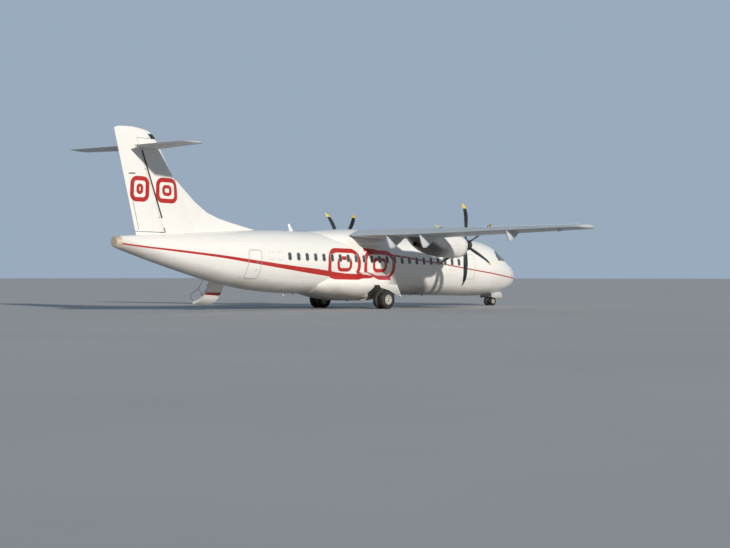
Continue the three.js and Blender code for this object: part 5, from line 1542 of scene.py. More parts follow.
    def _aileron_keel(self) -> Shape:
        """Small keel under the wing ahead of the aileron."""
        rings = []
        for share, part, deep, half in ((0.46, 0.9, 0, 16), (0.62, 1, 84, 32), (0.72, 1, 120, 32)):
            s, w, thick = self.middle(self.keel_y, share)
            rings.append(self.keel(s, self.keel_y, w, w - thick * part - deep, half))
        return loft(rings)

    def _lugs(self) -> list[Shape]:
        """Lugs that hold the ailerons' hinge pins."""
        lugs = []
        for y in self.aileron_lugs:
            s, w, half = self.middle(y, self.aileron_share)
            lug = joined([box(s - half - 45, s, y - 12, y + 12, w - 15, w + 15),
                          bar((s, y - 12, w), (s, y + 12, w), 20)])
            lugs += [lug.on(side) for side in Side]
        return lugs

    def _ailerons(self, blank: Shape) -> None:
        """Makes the ailerons, slotted for their lugs, with a trim tab on each."""
        shape = carved(blank, [(self.behind(self.aileron, self.aileron_share, 0, 0), Carve.KEEP)])
        slots, pins = [], []
        for y in self.aileron_lugs:
            s, w, half = self.middle(y, self.aileron_share)
            slots.append((box(s - half - 60, s + 26, y - 17, y + 17, w - 400, w + 400), Carve.CUT))
            pins.append(bar((s, y - 27, w), (s, y + 27, w), 8))
        shape = joined([carved(shape, slots), *pins])
        rings = []
        for y in self.tab:
            (s0, _, w0), (s1, _, w1) = self._top(y, 0.90), self._top(y, 0.905)
            rings.append([(s0, y, w0 + 1 - 3), (s0, y, w0 + 1), (s1, y, w1 + 1), (s1, y, w1 + 1 - 3)])
        pair("aileron_*_skin", shape, "wing", "wing_paint", "aileron_*", replaces=("aileron_*",), angle=40)
        pair("aileron_*_tab_line", loft(rings), "seal", "wing_paint", "aileron_*")

    def _boots(self) -> None:
        """Makes the black de-icing boots along the leading edge."""
        boots = []
        for start, end in self.boots:
            spans = np.linspace(start, end, max(3, int((end - start) / 400)))
            boots.append(loft([[(s, y, w) for s, w in boot_outline(self.section(y, steps=18, last=0.085))]
                               for y in spans]))
        pair("wing_boots_*", joined(boots), "boot", "wing_paint", angle=50)

    def _details(self, row: PartRow) -> None:
        """Makes the vortex generators, static wicks, tip lights and fuel caps."""
        vane = loft([[(s, -2, w), (s, 2, w), (s + 34, 2, w), (s + 34, -2, w)] for s, w in ((-17, 0), (-6, 32))])
        (s0, y0, w0), (s1, y1, w1) = (self._top(y, self.vane_share) for y in self.vane_span)
        gaps = self.vanes - 1
        step = ((s1 - s0) / gaps, (y1 - y0) / gaps, (w1 - w0) / gaps)
        vanes = row.repeat(vane.moved(s0, y0, w0 - 3), self.vanes, "white", step)
        pair("vortex_vanes_*", vanes, "white", "wing_paint")
        tip_s, tip_w, _ = self.middle(13400, 0.12)
        lens = self._blob((tip_s + 40, 13500, tip_w), (95, 28, 26))
        for side, look in zip(Side, ("red_lens", "green_lens")):
            piece(f"tip_light_{side.word}", lens.on(side), Finish(look, "glazing", angle=60))
        for i, y in enumerate(self.wicks):
            s, w, _ = self.middle(y, 0.995)
            wick = bar((s - 8, y, w), (s + 120, y, w - 6), 2.5, 1.2, sides=8)
            pair(f"aileron_*_wick_{i}", wick, "seal", "spinner_paint", "aileron_*")
        caps = [lathe(((-3, AXIS), (-3, 52), (2.5, 52), (3.5, 46), (3.5, AXIS)), "w", self._top(y, 0.5), 32)
                for y in self.caps]
        pair("fuel_caps_*", joined(caps), "steel", "wing_paint")

    def _top(self, y: float, share: float) -> Vec:
        """Point on the upper skin."""
        s, w, half = self.middle(y, share)
        return s, y, w + half

    @staticmethod
    def _blob(centre: Vec, size: Vec) -> Shape:
        """Smooth lens body."""
        rings = []
        for i in range(1, 12):
            t = math.pi * i / 12
            rings.append([(centre[0] - size[0] * math.cos(t), centre[1] + size[1] * math.sin(t) * math.cos(a),
                           centre[2] + size[2] * math.sin(t) * math.sin(a))
                          for a in np.linspace(0, 2 * math.pi, 20, endpoint=False)])
        return loft(rings)


WING = Wing()


# Fairings and engines


@dataclass
class Fairings:
    """Wing root fairing and the landing-gear fairing under the belly."""

    root: tuple[Row, ...] = (
        (10300, 1425, 420), (10700, 1490, 760), (11300, 1600, 1090), (12000, 1655, 1150), (12900, 1655, 1150),
        (13800, 1615, 1150), (14700, 1540, 980), (15400, 1475, 720), (15900, 1425, 420),
    )
    belly: tuple[Row, ...] = (
        (10970, 1060, -1380), (11300, 1420, -1530), (11800, 1780, -1670), (12400, 1930, -1725), (13200, 1930, -1735),
        (14000, 1780, -1700), (15000, 1440, -1570), (15980, 1040, -1395),
    )
    waist: float = -860.0
    top: float = -260.0
    flat: float = 0.62
    well: tuple[float, ...] = (11780, 13080, 700, 1790, -780, -985, 2100)
    arch: tuple[float, ...] = (1500, 13000, 13880)
    pad: tuple[float, ...] = (13600, 760, -1745, 55, -1650)
    sides: int = 96
    seat: float = 0.3

    def hump_ring(self, s: float) -> list[Vec]:
        """Section of the fairing over the wing root."""
        curve = Curve(self.root)
        return oval(s, 0, (curve.at(s, 1), 500, curve.at(s, 2), 1000), self.sides)

    def sponson_ring(self, s: float) -> list[Vec]:
        """Flat-bottomed section that bulges outwards at the waist."""
        curve = Curve(self.belly)
        half, bottom = curve.at(s, 1), curve.at(s, 2)
        ring = []
        for a in around(self.sides):
            across, up = math.sin(a), math.cos(a)
            reach, power = (self.top - self.waist, 1) if up > 0 else (self.waist - bottom, 0.8)
            ring.append((s, half * math.copysign(abs(across) ** self.flat, across),
                         self.waist + reach * math.copysign(abs(up) ** power, up)))
        return ring

    def build(self) -> None:
        """Makes both fairings."""
        skin = FUSELAGE.hull(10000, 16400, self.seat)
        hump = loft([self.hump_ring(s) for s in np.linspace(self.root[0][0], self.root[-1][0], 44)])
        hump = carved(hump, [(skin, Carve.CUT), (WING.blank(self.seat), Carve.CUT)])
        piece("root_fairing_skin", hump, Finish("livery", "white_paint", replaces=("wing_root_fairing",), angle=40))
        belly = loft([self.sponson_ring(s) for s in np.linspace(self.belly[0][0], self.belly[-1][0], 60)])
        a, b, inner, outer, ceiling, lip, mouth = self.well
        near, head, foot = self.arch
        below = -1900
        slant = prism([(a, below), (foot, below), (head, lip), (a, lip)], near, mouth)
        room = carved(box(a, b, inner, outer, below, ceiling), [
            (box(a, b, inner, mouth, below, lip), Carve.ADD), (slant, Carve.ADD)])
        s, y, low, radius, root = self.pad
        tools = [(bar((s, at, root), (s, at, low), radius), Carve.ADD) for at in (y, -y)]
        tools += [(shape, Carve.CUT) for shape in (skin, room, room.flipped())]
        piece("belly_fairing_skin", carved(belly, tools),
              Finish("livery", "belly_paint", replaces=("belly_fairing",), angle=40))


@dataclass
class Nacelle:
    """Engine nacelles with their intakes and exhausts."""

    rows: tuple[Row, ...] = (
        (9175, 1265, 560, 300, 950), (9300, 1330, 430, 370, 930), (9650, 1430, 345, 430, 900),
        (10200, 1530, 335, 475, 900), (10900, 1590, 345, 495, 930), (11500, 1600, 400, 490, 980),
        (12100, 1560, 530, 450, 1050), (12600, 1480, 740, 370, 1120), (13000, 1400, 1010, 240, 1200),
        (13200, 1330, 1180, 110, 1255),
    )
    intake: tuple[float, ...] = (9175, 320, 530, 190, 85)
    exhaust: tuple[float, ...] = (11900, 700, 12900, 900, 175, 125, 105)
    wall: float = 12.0
    bore: float = 320.0
    sides: int = 64
    seat: float = 0.3
    screw_rings: tuple[float, ...] = (9330, 10900)
    scoop: tuple[Row, ...] = ((9900, 60, 46), (9990, 68, 40), (10120, 55, 22), (10260, 20, 4))

    def __post_init__(self) -> None:
        """Prepares the smooth columns."""
        self.curve = Curve(self.rows)

    def section(self, s: float) -> tuple[float, ...]:
        """Top, bottom, half width and widest height at a station."""
        return tuple(self.curve.at(s, column) for column in (1, 2, 3, 4))

    def stub(self, grow: float, start: float, end: float) -> Shape:
        """Length of the exhaust stub."""
        a, low, b, high, off, half, tall = self.exhaust
        rings = []
        for t in np.linspace(start, end, 9):
            w = low + t * (high - low)
            section = (w + tall + grow, w - tall - grow, half + grow, w)
            rings.append(oval(a + t * (b - a), ENGINE_Y + off, section, 40))
        return loft(rings)

    def lip(self) -> Shape:
        """Rounded rim of the intake."""
        s, _, w, half, tall = self.intake
        rings = []
        for a in around(48):
            out = (half * math.sin(a), tall * math.cos(a))
            reach = math.hypot(*out)
            unit = (out[0] / reach, out[1] / reach)
            rings.append([(s - 6 + 20 * math.cos(t), ENGINE_Y + out[0] + unit[0] * (6 + 16 * math.sin(t)),
                           w + out[1] + unit[1] * (6 + 16 * math.sin(t)))
                          for t in np.linspace(0, 2 * math.pi, 12, endpoint=False)])
        return loft(rings, closed_ends=False, loop=True)

    def build(self, row: PartRow) -> None:
        """Makes the nacelles and what is on them."""
        stations = sorted({9175.0, 9190.0, 9215.0, 9250.0, *np.linspace(9300, 13200, 52)})
        body = loft([oval(s, ENGINE_Y, self.section(s), self.sides) for s in stations])
        s, depth, w, half, tall = self.intake
        duct = loft([oval(at, ENGINE_Y, (w + tall, w - tall, half, w), 40) for at in (s - 60, s + depth)])
        wing = WING.blank(self.seat)
        shell = carved(body, [(tool, Carve.CUT) for tool in (wing, duct, self.stub(self.seat, -0.01, 1.1))])
        a, _, b, *_ = self.exhaust
        mouth = 1 - self.bore / (b - a)
        pipe = carved(self.stub(0, 0, 1), [(self.stub(-self.wall, mouth, 1.2), Carve.CUT), (wing, Carve.CUT)])
        pair("nacelle_skin_*", shell, "nacelle", "white_paint", replaces=("nacelle_*",), angle=40)
        pair("exhaust_pipe_*", pipe, "burnt", "exhaust_metal", replaces=("exhaust_*",))
        pair("intake_lip_*", self.lip(), "steel", "white_paint")
        pair("nacelle_scoop_*", self._scoop(), "livery", "white_paint", angle=50)
        pair("nacelle_screws_*", self._screws(row), "steel", "white_paint")

    def _scoop(self) -> Shape:
        """Small oil-cooler scoop under the intake."""
        outer = loft([oval(s, ENGINE_Y, (345 + tall * 0.2, 330 - tall, half, 338), 24)
                      for s, half, tall in self.scoop])
        room = loft([oval(s, ENGINE_Y, (336, 302, 46, 318), 24) for s in (9880, 9985)])
        return carved(outer, [(room, Carve.CUT)])

    def _screws(self, row: PartRow) -> Shape:
        """Screws around the cowlings' front edge and along their split line."""
        heads = []
        for s in self.screw_rings:
            top, bottom, half, wide = self.section(s)
            for i in range(60):
                a = 2 * math.pi * (i + 0.5) / 60
                reach = (top - wide) if math.cos(a) > 0 else (wide - bottom)
                if abs(math.cos(a)) > 0.999 or (s > 10000 and math.cos(a) < 0.2):
                    continue
                normal = np.array([0, math.sin(a) / half, math.cos(a) / reach])
                normal /= np.linalg.norm(normal)
                at = np.array([s, ENGINE_Y + half * math.sin(a), wide + reach * math.cos(a)])
                heads.append(bar(tuple(at - 3 * normal), tuple(at + 1.6 * normal), 6, 4.5, sides=8))
        y = ENGINE_Y + self.section(9450)[2]
        return joined([*heads, row.repeat(bar((9450, y - 4, 915), (9450, y + 5, 915), 6, 4.5, 8), 3, "steel",
                                          (90, 9, 0))])


@dataclass
class Propeller:
    """Six-bladed propellers with their spinners and hubs."""

    rows: tuple[Row, ...] = (
        (180, 130, 110, 0, -22), (330, 150, 90, 0, -22), (520, 225, 58, -12, -16), (900, 290, 40, -28, -8),
        (1300, 295, 28, -18, 0), (1600, 255, 20, 40, 4), (1820, 185, 13, 140, 6), (1965, 70, 8, 262, 7),
    )
    count: int = 6
    hub_radius: float = 272.0
    front: float = 8880.0
    rear: float = 9120.0
    shaft: float = 105.0
    tip: float = 8590.0
    turns: tuple[tuple[Side, float], ...] = ((Side.LEFT, -27.0), (Side.RIGHT, 0.0))
    stations: int = 34
    points: int = 32
    tip_round: float = 1900.0

    def blade(self) -> tuple[Shape, np.ndarray]:
        """One blade about the hub, pointing up, with its share of the span and its leading edge."""
        curve = Curve(self.rows)
        last = self.rows[-1][0]
        rings, marks = [], []
        for radius in np.linspace(self.rows[0][0], last, self.stations):
            chord, thick, sweep, twist = (curve.at(radius, c) for c in (1, 2, 3, 4))
            if radius > self.tip_round:
                chord *= math.sqrt(max(0.0, 1 - ((radius - self.tip_round) / 66) ** 2)) * 0.6 + 0.4
            turn = math.radians(twist)
            ring = []
            for a in around(self.points):
                along, full = math.cos(a) * chord / 2, 1.0 - 0.28 * math.cos(a)
                across = math.sin(a) * thick / 2 * min(full, 1.0 if radius < 330 else full)
                ring.append((along * math.cos(turn) - across * math.sin(turn) + sweep,
                             along * math.sin(turn) + across * math.cos(turn), radius))
                marks.append((radius / last, 1.0 if math.cos(a) < -0.97 else 0.0, 0.0))
            rings.append(ring)
        return loft(rings), np.array(marks)

    def build(self, row: PartRow) -> None:
        """Makes both propellers."""
        blade, marks = self.blade()
        middle, seat, hub = (0, 0, 0), 0.3, self.hub_radius
        cuff = spindle([(150, 88), (262, 88), (286, 80), (300, 80)], "w", middle)
        ahead, behind = self.front - PROP_STATION, self.rear - PROP_STATION
        drum = spindle([(behind, hub - 14), (behind - 10, hub), (ahead + seat + 60, hub), (ahead + seat, hub - 12)],
                       "s", middle, 72)
        stub = spindle([(9175 - seat - PROP_STATION, self.shaft), (behind - 20, self.shaft)], "s", middle)
        length = self.front - self.tip
        nose = [(ahead - length * t, (hub - 12) * (1 - t**2.1) ** 0.62) for t in np.linspace(0, 0.999, 26)]
        cone = lathe([(ahead, AXIS), *nose, (ahead - length, AXIS)], "s", middle, 72)
        ring = row.repeat(bar((ahead + 24, 0, hub - 4), (ahead + 24, 0, hub + 1.5), 6, 5, 8), 36, "steel",
                          turn=(10, 0, 0))
        for side, start in self.turns:
            body = f"propeller_{side.word}"
            place = (PROP_STATION, side.value * ENGINE_Y, PROP_HEIGHT)
            for name, shape, look, slot, nodes, angle in (
                    ("blades", self._spread(blade, start), "blade", "blade_composite", (body,), 50),
                    ("hub", joined([drum, stub]), "spinner", "spinner_paint", (), 30),
                    ("blade_roots", self._spread(cuff, start), "seal", "blade_composite", (), 32),
                    ("spinner_cone", cone, "spinner", "spinner_paint", (f"spinner_{side.word}",), 40),
                    ("hub_screws", ring, "steel", "spinner_paint", (), 32)):
                extra = {"blade": np.tile(marks, (self.count, 1))} if name == "blades" else None
                piece(f"{name}_{side.word}", shape.moved(*place), Finish(look, slot, body, nodes, angle), extra)

    def _spread(self, shape: Shape, start: float) -> Shape:
        """Copies of a shape around the propeller's axis, the first turned by an angle in degrees."""
        copies = []
        for i in range(self.count):
            a = math.radians(start + 60 * i)
            points = shape.points.copy()
            y, w = shape.points[:, 1], shape.points[:, 2]
            points[:, 1] = y * math.cos(a) - w * math.sin(a)
            points[:, 2] = y * math.sin(a) + w * math.cos(a)
            copies.append(Shape(points, list(shape.faces)))
        return joined(copies)


# Landing gear


@dataclass(frozen=True)
class Tyre:
    """Sizes of one tyre and its wheel."""

    radius: float
    width: float
    rim: float
    spacing: float
    axle: float
    grooves: tuple[float, ...]
    bolts: int


MAIN_TYRE = Tyre(432, 254, 235, 430, 46, (-62, -22, 22, 62), 10)
NOSE_TYRE = Tyre(225, 190, 120, 320, 28, (-34, 0, 34), 6)


@dataclass
class Wheels:
    """Tyres with tread grooves on dished and bolted wheels."""

    sides: int = 96
    main_axle: Vec = (12565, 2050, -1667.1)
    nose_axle: Vec = (1795, 0, -1703.4)

    def tyre(self, size: Tyre) -> Shape:
        """One tyre about its axle."""
        half, wall = size.width / 2, size.radius - size.rim
        tread, outer = 0.7 * half, []
        depth, lip = (9, 5) if size.radius > 300 else (6, 4)
        for groove in size.grooves:
            shoulder, floor = size.radius - 2 - self._drop(groove, tread), size.radius - depth
            a, b = groove - lip, groove + lip
            outer += [(a - 2, size.radius - self._drop(a - 2, tread)), (a, shoulder), (a + 1.5, floor),
                      (b - 1.5, floor), (b, shoulder), (b + 2, size.radius - self._drop(b + 2, tread))]
        profile = [(-half * 0.64, size.rim + 2)]
        for a in np.linspace(-8, 74, 12):
            t = math.radians(a)
            profile.append((-half * (0.66 + 0.34 * math.cos(t)), size.rim + wall * (0.5 + 0.5 * math.sin(t)) * 0.965))
        profile += [(y, r) for y, r in outer if abs(y) < 0.8 * half]
        profile += [(-y, r) for y, r in reversed(profile[:13])]
        return lathe(profile, "y", (0, 0, 0), self.sides)

    @staticmethod
    def _drop(y: float, tread: float) -> float:
        """Fall of the tread's crown."""
        return 5 * (y / tread) ** 2

    def rim(self, size: Tyre) -> Shape:
        """One wheel, dished on its outer side."""
        seat, half = size.rim - 1, size.width / 2
        edge, dish = half * 0.62, half * 0.24
        bore = size.axle + 1
        profile = [(-edge, bore), (edge * 0.9, bore), (edge * 0.92, bore * 1.55), (edge * 0.8, bore * 1.75),
                   (dish, bore * 2.0), (dish - 4, seat * 0.62), (dish + 8, seat * 0.80), (edge * 0.82, seat * 0.88),
                   (edge, seat * 0.9), (edge + 5, seat * 0.94), (edge + 5, seat), (edge - 8, seat),
                   (-edge, seat), (-edge, seat * 0.86), (-edge * 0.5, seat * 0.8), (-edge * 0.5, bore * 1.6),
                   (-edge, bore * 1.4)]
        return lathe(profile, "y", (0, 0, 0), self.sides)

    def bolts(self, row: PartRow, size: Tyre) -> Shape:
        """Tie bolts and hub cap on a wheel's outer side."""
        dish, ring = size.width / 2 * 0.24, (size.rim - 1) * 0.68
        bolt = bar((0, dish - 6, ring), (0, dish + 16, ring), 0.045 * size.rim, sides=6)
        bolts = row.repeat(bolt, size.bolts, "steel", turn=(0, 360 / size.bolts, 0))
        out = size.width / 2 * 0.62
        cap = lathe(((out - 30, AXIS), (out - 30, size.axle * 1.35), (out + 4, size.axle * 1.35),
                     (out + 14, size.axle * 1.05), (out + 17, AXIS)), "y", (0, 0, 0), 40)
        return joined([bolts, cap])

    def build(self, row: PartRow) -> None:
        """Makes every wheel."""
        for gear, size, axle, sides in (("main", MAIN_TYRE, self.main_axle, tuple(Side)),
                                        ("nose", NOSE_TYRE, self.nose_axle, (None,))):
            tyre, rim, bolts = self.tyre(size), self.rim(size), self.bolts(row, size)
            for side in sides:
                ending, out = (f"_{side.word}", side.value) if side else ("", 1)
                for mark, facing in zip("ab", Side):
                    at = (axle[0], axle[1] * out + facing.value * size.spacing / 2, axle[2])
                    for name, shape, look, slot, node in (
                            ("tyre", tyre, "rubber", "tyre_rubber", f"{gear}_tyre{ending}_{mark}"),
                            ("rim", rim, "wheel", "wheel_paint", f"{gear}_rim{ending}_{mark}"),
                            ("rim_bolts", bolts, "steel", "gear_steel", "")):
                        finish = Finish(look, slot, f"{gear}_wheels{ending}", (node,) if node else (), 28)
                        piece(f"{gear}_{name}_fine{ending}_{mark}", shape.on(facing).moved(*at), finish)


@dataclass
class MainGear:
    """Struts, collars, hoses and door rims of the main gear."""

    trunnion: Vec = (0, 1440, -880)
    knee: Vec = (12095, 2050, -1430)
    axle: Vec = (12565, 2050, -1667.1)
    shock: Vec = (12330, 1975, -1090)
    door: tuple[Pair, ...] = (
        (11620, -960), (12860, -960), (12860, -1120), (12420, -1215), (12080, -1400), (11760, -1520))
    door_y: float = 2010.0
    lean: float = 0.72
    thick: float = 26.0

    def leg_y(self, w: float) -> float:
        """Distance of the post's middle from the centre line at a height."""
        (_, y, low), (_, inner, high) = self.knee, self.trunnion
        return y + (w - low) * (inner - y) / (high - low)

    def build(self) -> None:
        """Makes the details of both legs."""
        knee, axle, head = np.array(self.knee), np.array(self.axle), np.array(self.shock)
        foot = axle + 0.45 * (knee - axle)
        rise = head - foot

        def tier(start: float, end: float, radius: float) -> Shape:
            """Length of the shock strut between two shares of its rise."""
            return bar(tuple(foot + start * rise), tuple(foot + end * rise), radius)

        jacket = joined([tier(0.5, 1.0, 47), tier(0.48, 0.56, 53), tier(-0.02, 0.13, 40)])
        s, high, low = self.knee[0] + 20, -1180, -1230
        post = joined([spindle([(-32, 92), (32, 92)], "y", self.knee), spindle([(-36, 62), (36, 62)], "y", self.axle),
                       bar((s, self.leg_y(high) - 6, high), (s, self.leg_y(low) + 6, low), 97)])
        hoses = []
        for k, off in enumerate((-26, 22)):
            line = [(12150 + 3 * k, self.leg_y(w) + 84, w) for w in (-960, -1060, -1180, -1300)]
            line += [(12110, knee[1] + 74 + 0.2 * off, -1390 + off), (12200, knee[1] + 76, -1452 + off),
                     (12380, knee[1] + 70, -1540 + off), (12500, knee[1] + 68, -1610 + off)]
            hoses.append(tube(self._smooth(line), 9))
        pair("main_oleo_*", tier(0.12, 0.55, 27), "chrome", "gear_steel")
        pair("main_strut_*", jacket, "gear", "gear_steel")
        pair("main_collars_*", post, "gear", "gear_steel")
        pair("main_hoses_*", joined(hoses), "seal", "tyre_rubber")
        pair("main_door_rim_*", self._door_rim(), "white", "white_paint", angle=30)

    def _door_rim(self) -> Shape:
        """Raised rim on the outer side of the leg's door."""
        plate = [(s, self.door_y + (self.door[0][1] - w) * self.lean, w) for s, w in self.door]
        middle = np.mean(np.array(plate), axis=0)
        rings = []
        for p in plate:
            inward = middle - np.array(p)
            inward /= np.linalg.norm(inward)
            q = tuple(np.array(p) + 34 * inward)
            rings.append([(a[0], a[1] + self.thick + out, a[2]) for a, out in ((p, -2), (p, 4), (q, 4), (q, -2))])
        return loft(rings, closed_ends=False, loop=True)

    @staticmethod
    def _smooth(path: Sequence[Vec]) -> list[Vec]:
        """Finer path through the same points."""
        fine = []
        pts = [np.array(p, float) for p in path]
        for i in range(len(pts) - 1):
            a, b = pts[max(i - 1, 0)], pts[min(i + 2, len(pts) - 1)]
            for t in np.linspace(0, 1, 6, endpoint=False):
                p, q = pts[i], pts[i + 1]
                fine.append(tuple(p * (2 * t**3 - 3 * t**2 + 1) + q * (3 * t**2 - 2 * t**3)
                                  + 0.5 * (q - a) * (t**3 - 2 * t**2 + t) + 0.5 * (b - p) * (t**3 - t**2)))
        return [*fine, tuple(pts[-1])]


@dataclass
class NoseGear:
    """Chrome piston, torque links, collar and lamps of the nose gear."""

    s: float = 1795.0
    leg_end: float = -1390.0
    axle_w: float = -1703.4
    lamp_w: float = -1180.0
    lamp_y: float = 86.0

    def build(self) -> None:
        """Makes the details of the nose leg."""
        s, y, w = self.s, self.lamp_y, self.lamp_w
        oleo = spindle([(-1600, 43), (self.leg_end - 8, 43)], "w", (s, 0, 0))
        links = joined([spindle([(-78, 46), (78, 46)], "y", (s, 0, self.axle_w)),
                        box(s + 30, s + 128, -26, 26, -1672, -1640),
                        prism([(s + 118, -1676), (s + 140, -1660), (s + 158, -1560), (s + 140, -1546),
                               (s + 124, -1556)], -22, 22)])
        collar = spindle([(-1388, 66), (-1352, 70), (-1300, 70), (-1292, 62)], "w", (s, 0, 0), 48)
        lamps = [lathe(((-64, AXIS), (-60, 52), (6, 58), (14, 44), (14, AXIS)), "s", (s - 92, at, w), 36)
                 for at in (-y, y)]
        piece("nose_oleo", oleo, Finish("chrome", "gear_steel", "nose_steering"))
        piece("nose_torque_links", links, Finish("gear", "gear_steel", "nose_steering"))
        piece("nose_collar", joined([collar, bar((s - 70, -y, w), (s - 70, y, w), 14)]), Finish("gear", "gear_steel"))
        piece("nose_lamps", joined(lamps), Finish("clear_lens", "glazing", angle=40))


# Tail


@dataclass
class Tail:
    """Boots, lights, aerials and wicks of the tail and the fuselage."""

    height: float = 4620.0
    rows: tuple[Row, ...] = ((0, 24850, 1650, 0.11), (3590, 25510, 1110, 0.10), (3655, 25600, 960, 0.04))
    fin: tuple[Row, ...] = (
        (640, 22080, 25825, 440), (1100, 22370, 25957, 415), (2500, 23245, 26355, 345), (3430, 23870, 26620, 300),
        (4980, 24905, 27060, 235), (5200, 25120, 27122, 200))
    lines: tuple[tuple[str, str, tuple[Vec, ...], float], ...] = (
        ("rudder_seal", "airframe", ((24700, 1680, 42), (25160, 2850, 42), (25800, 4480, 42)), -68),
        ("rudder_foot_seal", "airframe", ((24505, 1080, 26), (24590, 1290, 26)), -68),
        ("rudder_tab_line", "rudder", ((26240, 2760, 9), (26010, 1960, 9), (25790, 1150, 9)), 0),
        ("rudder_mark", "rudder", ((26380, 3482, 22), (26200, 3491, 26), (26040, 3500, 22)), 0),
    )
    dome: tuple[Pair, ...] = ((-8, AXIS), (-8, 44), (10, 41), (26, 32), (38, 17), (42, AXIS))
    above: tuple[Row, ...] = ((16690, 330, 250), (6900, 300, 230), (9300, 220, 170))
    below: tuple[Row, ...] = ((7350, 110, 140), (9700, 110, 130), (17100, 120, 140))
    drains: tuple[Pair, ...] = ((16300, 240), (8600, -300))
    wicks: Row = (1500, 2500, 3300)

    def __post_init__(self) -> None:
        """Prepares the straight columns."""
        self.plane_curve = Curve(self.rows, straight=True)
        self.fin_curve = Curve(self.fin, straight=True)

    def fin_values(self, w: float) -> tuple[float, float, float]:
        """Leading edge, chord and thickness of the fin at a height."""
        leading, trailing, thick = (self.fin_curve.at(w, c) for c in (1, 2, 3))
        return leading, trailing - leading, thick

    @staticmethod
    def _nose(leading: float, chord: float, thick: float, last: float, middle: float = 0.0) -> list[Pair]:
        """Outline of a boot around a symmetrical section's nose."""
        return boot_outline([
            (leading + share * chord, middle + (1 if side == 0 else -1) * foil_height(share, thick)[0] * chord)
            for share, side in foil_path(14, last)])

    def build(self) -> None:
        """Makes everything."""
        self._boots()
        self._lines()
        self._aerials()
        self._lights()
        self._wicks()

    def _boots(self) -> None:
        """Makes the boots of the stabiliser and the fin."""
        rings = []
        for y in np.linspace(330, 3580, 12):
            leading, chord, thick = (self.plane_curve.at(y, c) for c in (1, 2, 3))
            rings.append([(s, y, w) for s, w in self._nose(leading, chord, thick, 0.09, self.height)])
        pair("stabiliser_boot_*", loft(rings), "boot", "wing_paint", angle=50)
        rings = []
        for w in np.linspace(4995, 5195, 6):
            leading, chord, thick = self.fin_values(w)
            rings.append([(s, y, w) for s, y in self._nose(leading, chord, thick / chord, 0.16)])
        piece("fin_boot", loft(rings), Finish("boot", "wing_paint", "rudder", angle=50))

    def _lines(self) -> None:
        """Makes the dark seals along the rudder's hinge, the tab's hinge line and the rudder's small mark."""
        for name, body, path, shift in self.lines:
            rings = []
            for s, w, half in self._between(path):
                leading, chord, thick = self.fin_values(w)
                at = s + shift
                y = foil_height((at - leading) / chord, thick / chord)[0] * chord
                a, b = (0, half) if name == "rudder_mark" else (half, 0)
                rings.append([(at + k * a, y + out, w + k * b)
                              for k, out in ((-1, -8), (-1, 2.5), (1, 2.5), (1, -8))])
            strip = loft(rings)
            piece(name, joined([strip.on(side) for side in Side]), Finish("seal", "white_paint", body))

    @staticmethod
    def _between(path: Sequence[Vec], steps: int = 8) -> list[Vec]:
        """Points spread along a path."""
        rows = [np.array(row, float) for row in path]
        spread = [a + (b - a) * k / steps for a, b in zip(rows, rows[1:]) for k in range(steps)]
        return [tuple(map(float, row)) for row in [*spread, rows[-1]]]

    def _aerials(self) -> None:
        """Makes the blade aerials and the drain masts."""
        above = [self._blade(s, FUSELAGE.section(s)[0] - 12, tall, long)
                 for s, tall, long in self.above]
        piece("blade_aerials", joined(above), Finish("white", "white_paint", angle=40))
        below = [self._hung(self._blade(s, 0, tall, long), FUSELAGE.section(s)[1] + 12)
                 for s, tall, long in self.below]
        piece("belly_aerials", joined(below), Finish("white", "belly_paint", angle=40))
        drains = []
        for s, y in self.drains:
            w = FUSELAGE.section(s)[1] + 30
            drains.append(loft([[(s + a + k * 40, y + b, w - k * 105) for a, b in ((-26, 0), (0, 7), (26, 0), (0, -7))]
                                for k in (0, 1)]))
        piece("drain_masts", joined(drains), Finish("steel", "belly_paint"))

    @staticmethod
    def _blade(s: float, w: float, tall: float, long: float) -> Shape:
        """Swept aerial blade standing on the skin."""
        rings = []
        for k in (0.0, 0.5, 0.85, 1.0):
            size = long * (1 - 0.45 * k)
            rings.append([(s + 0.55 * tall * k + size / 2 * math.cos(a), (11 - 5 * k) * math.sin(a), w + tall * k)
                          for a in around(20)])
        return loft(rings)

    @staticmethod
    def _hung(shape: Shape, w: float) -> Shape:
        """Shape turned upside down below a height."""
        return Shape(shape.points * np.array([1, 1, -1.0]) + np.array([0, 0, w]), shape.faces).outward()

    def _lights(self) -> None:
        """Makes the beacons, the belly lamp and the tail light."""
        beacons = [lathe(self.dome, "w", (16250, 0, FUSELAGE.section(15900)[0]), 36),
                   lathe([(-a, r) for a, r in self.dome], "w", (12900, 0, -1728), 36)]
        piece("beacons", joined(beacons), Finish("red_lens", "glazing", angle=50))
        lamp = lathe(((0, AXIS), (0, 38), (24, 34), (42, 20), (48, AXIS)), "w", (3930, 0, 0), 32)
        lamp = self._hung(lamp, FUSELAGE.section(3930)[1] + 5)
        tail = lathe(((-20, AXIS), (-20, 42), (8, 40), (26, 26), (34, AXIS)), "s", (27068, 0, 615), 32)
        for name, shape in (("belly_lamp", lamp), ("tail_light", tail)):
            piece(name, shape, Finish("clear_lens", "glazing", angle=50))

    def _wicks(self) -> None:
        """Makes the static wicks of the elevators."""
        wicks = []
        for y in self.wicks:
            s = self.plane_curve.at(y, 1) + self.plane_curve.at(y, 2)
            wicks.append(bar((s - 8, y, self.height), (s + 90, y, self.height), 2.5, 1.2, sides=8))
        pair("elevator_*_wicks", joined(wicks), "seal", "spinner_paint", "elevator_*")


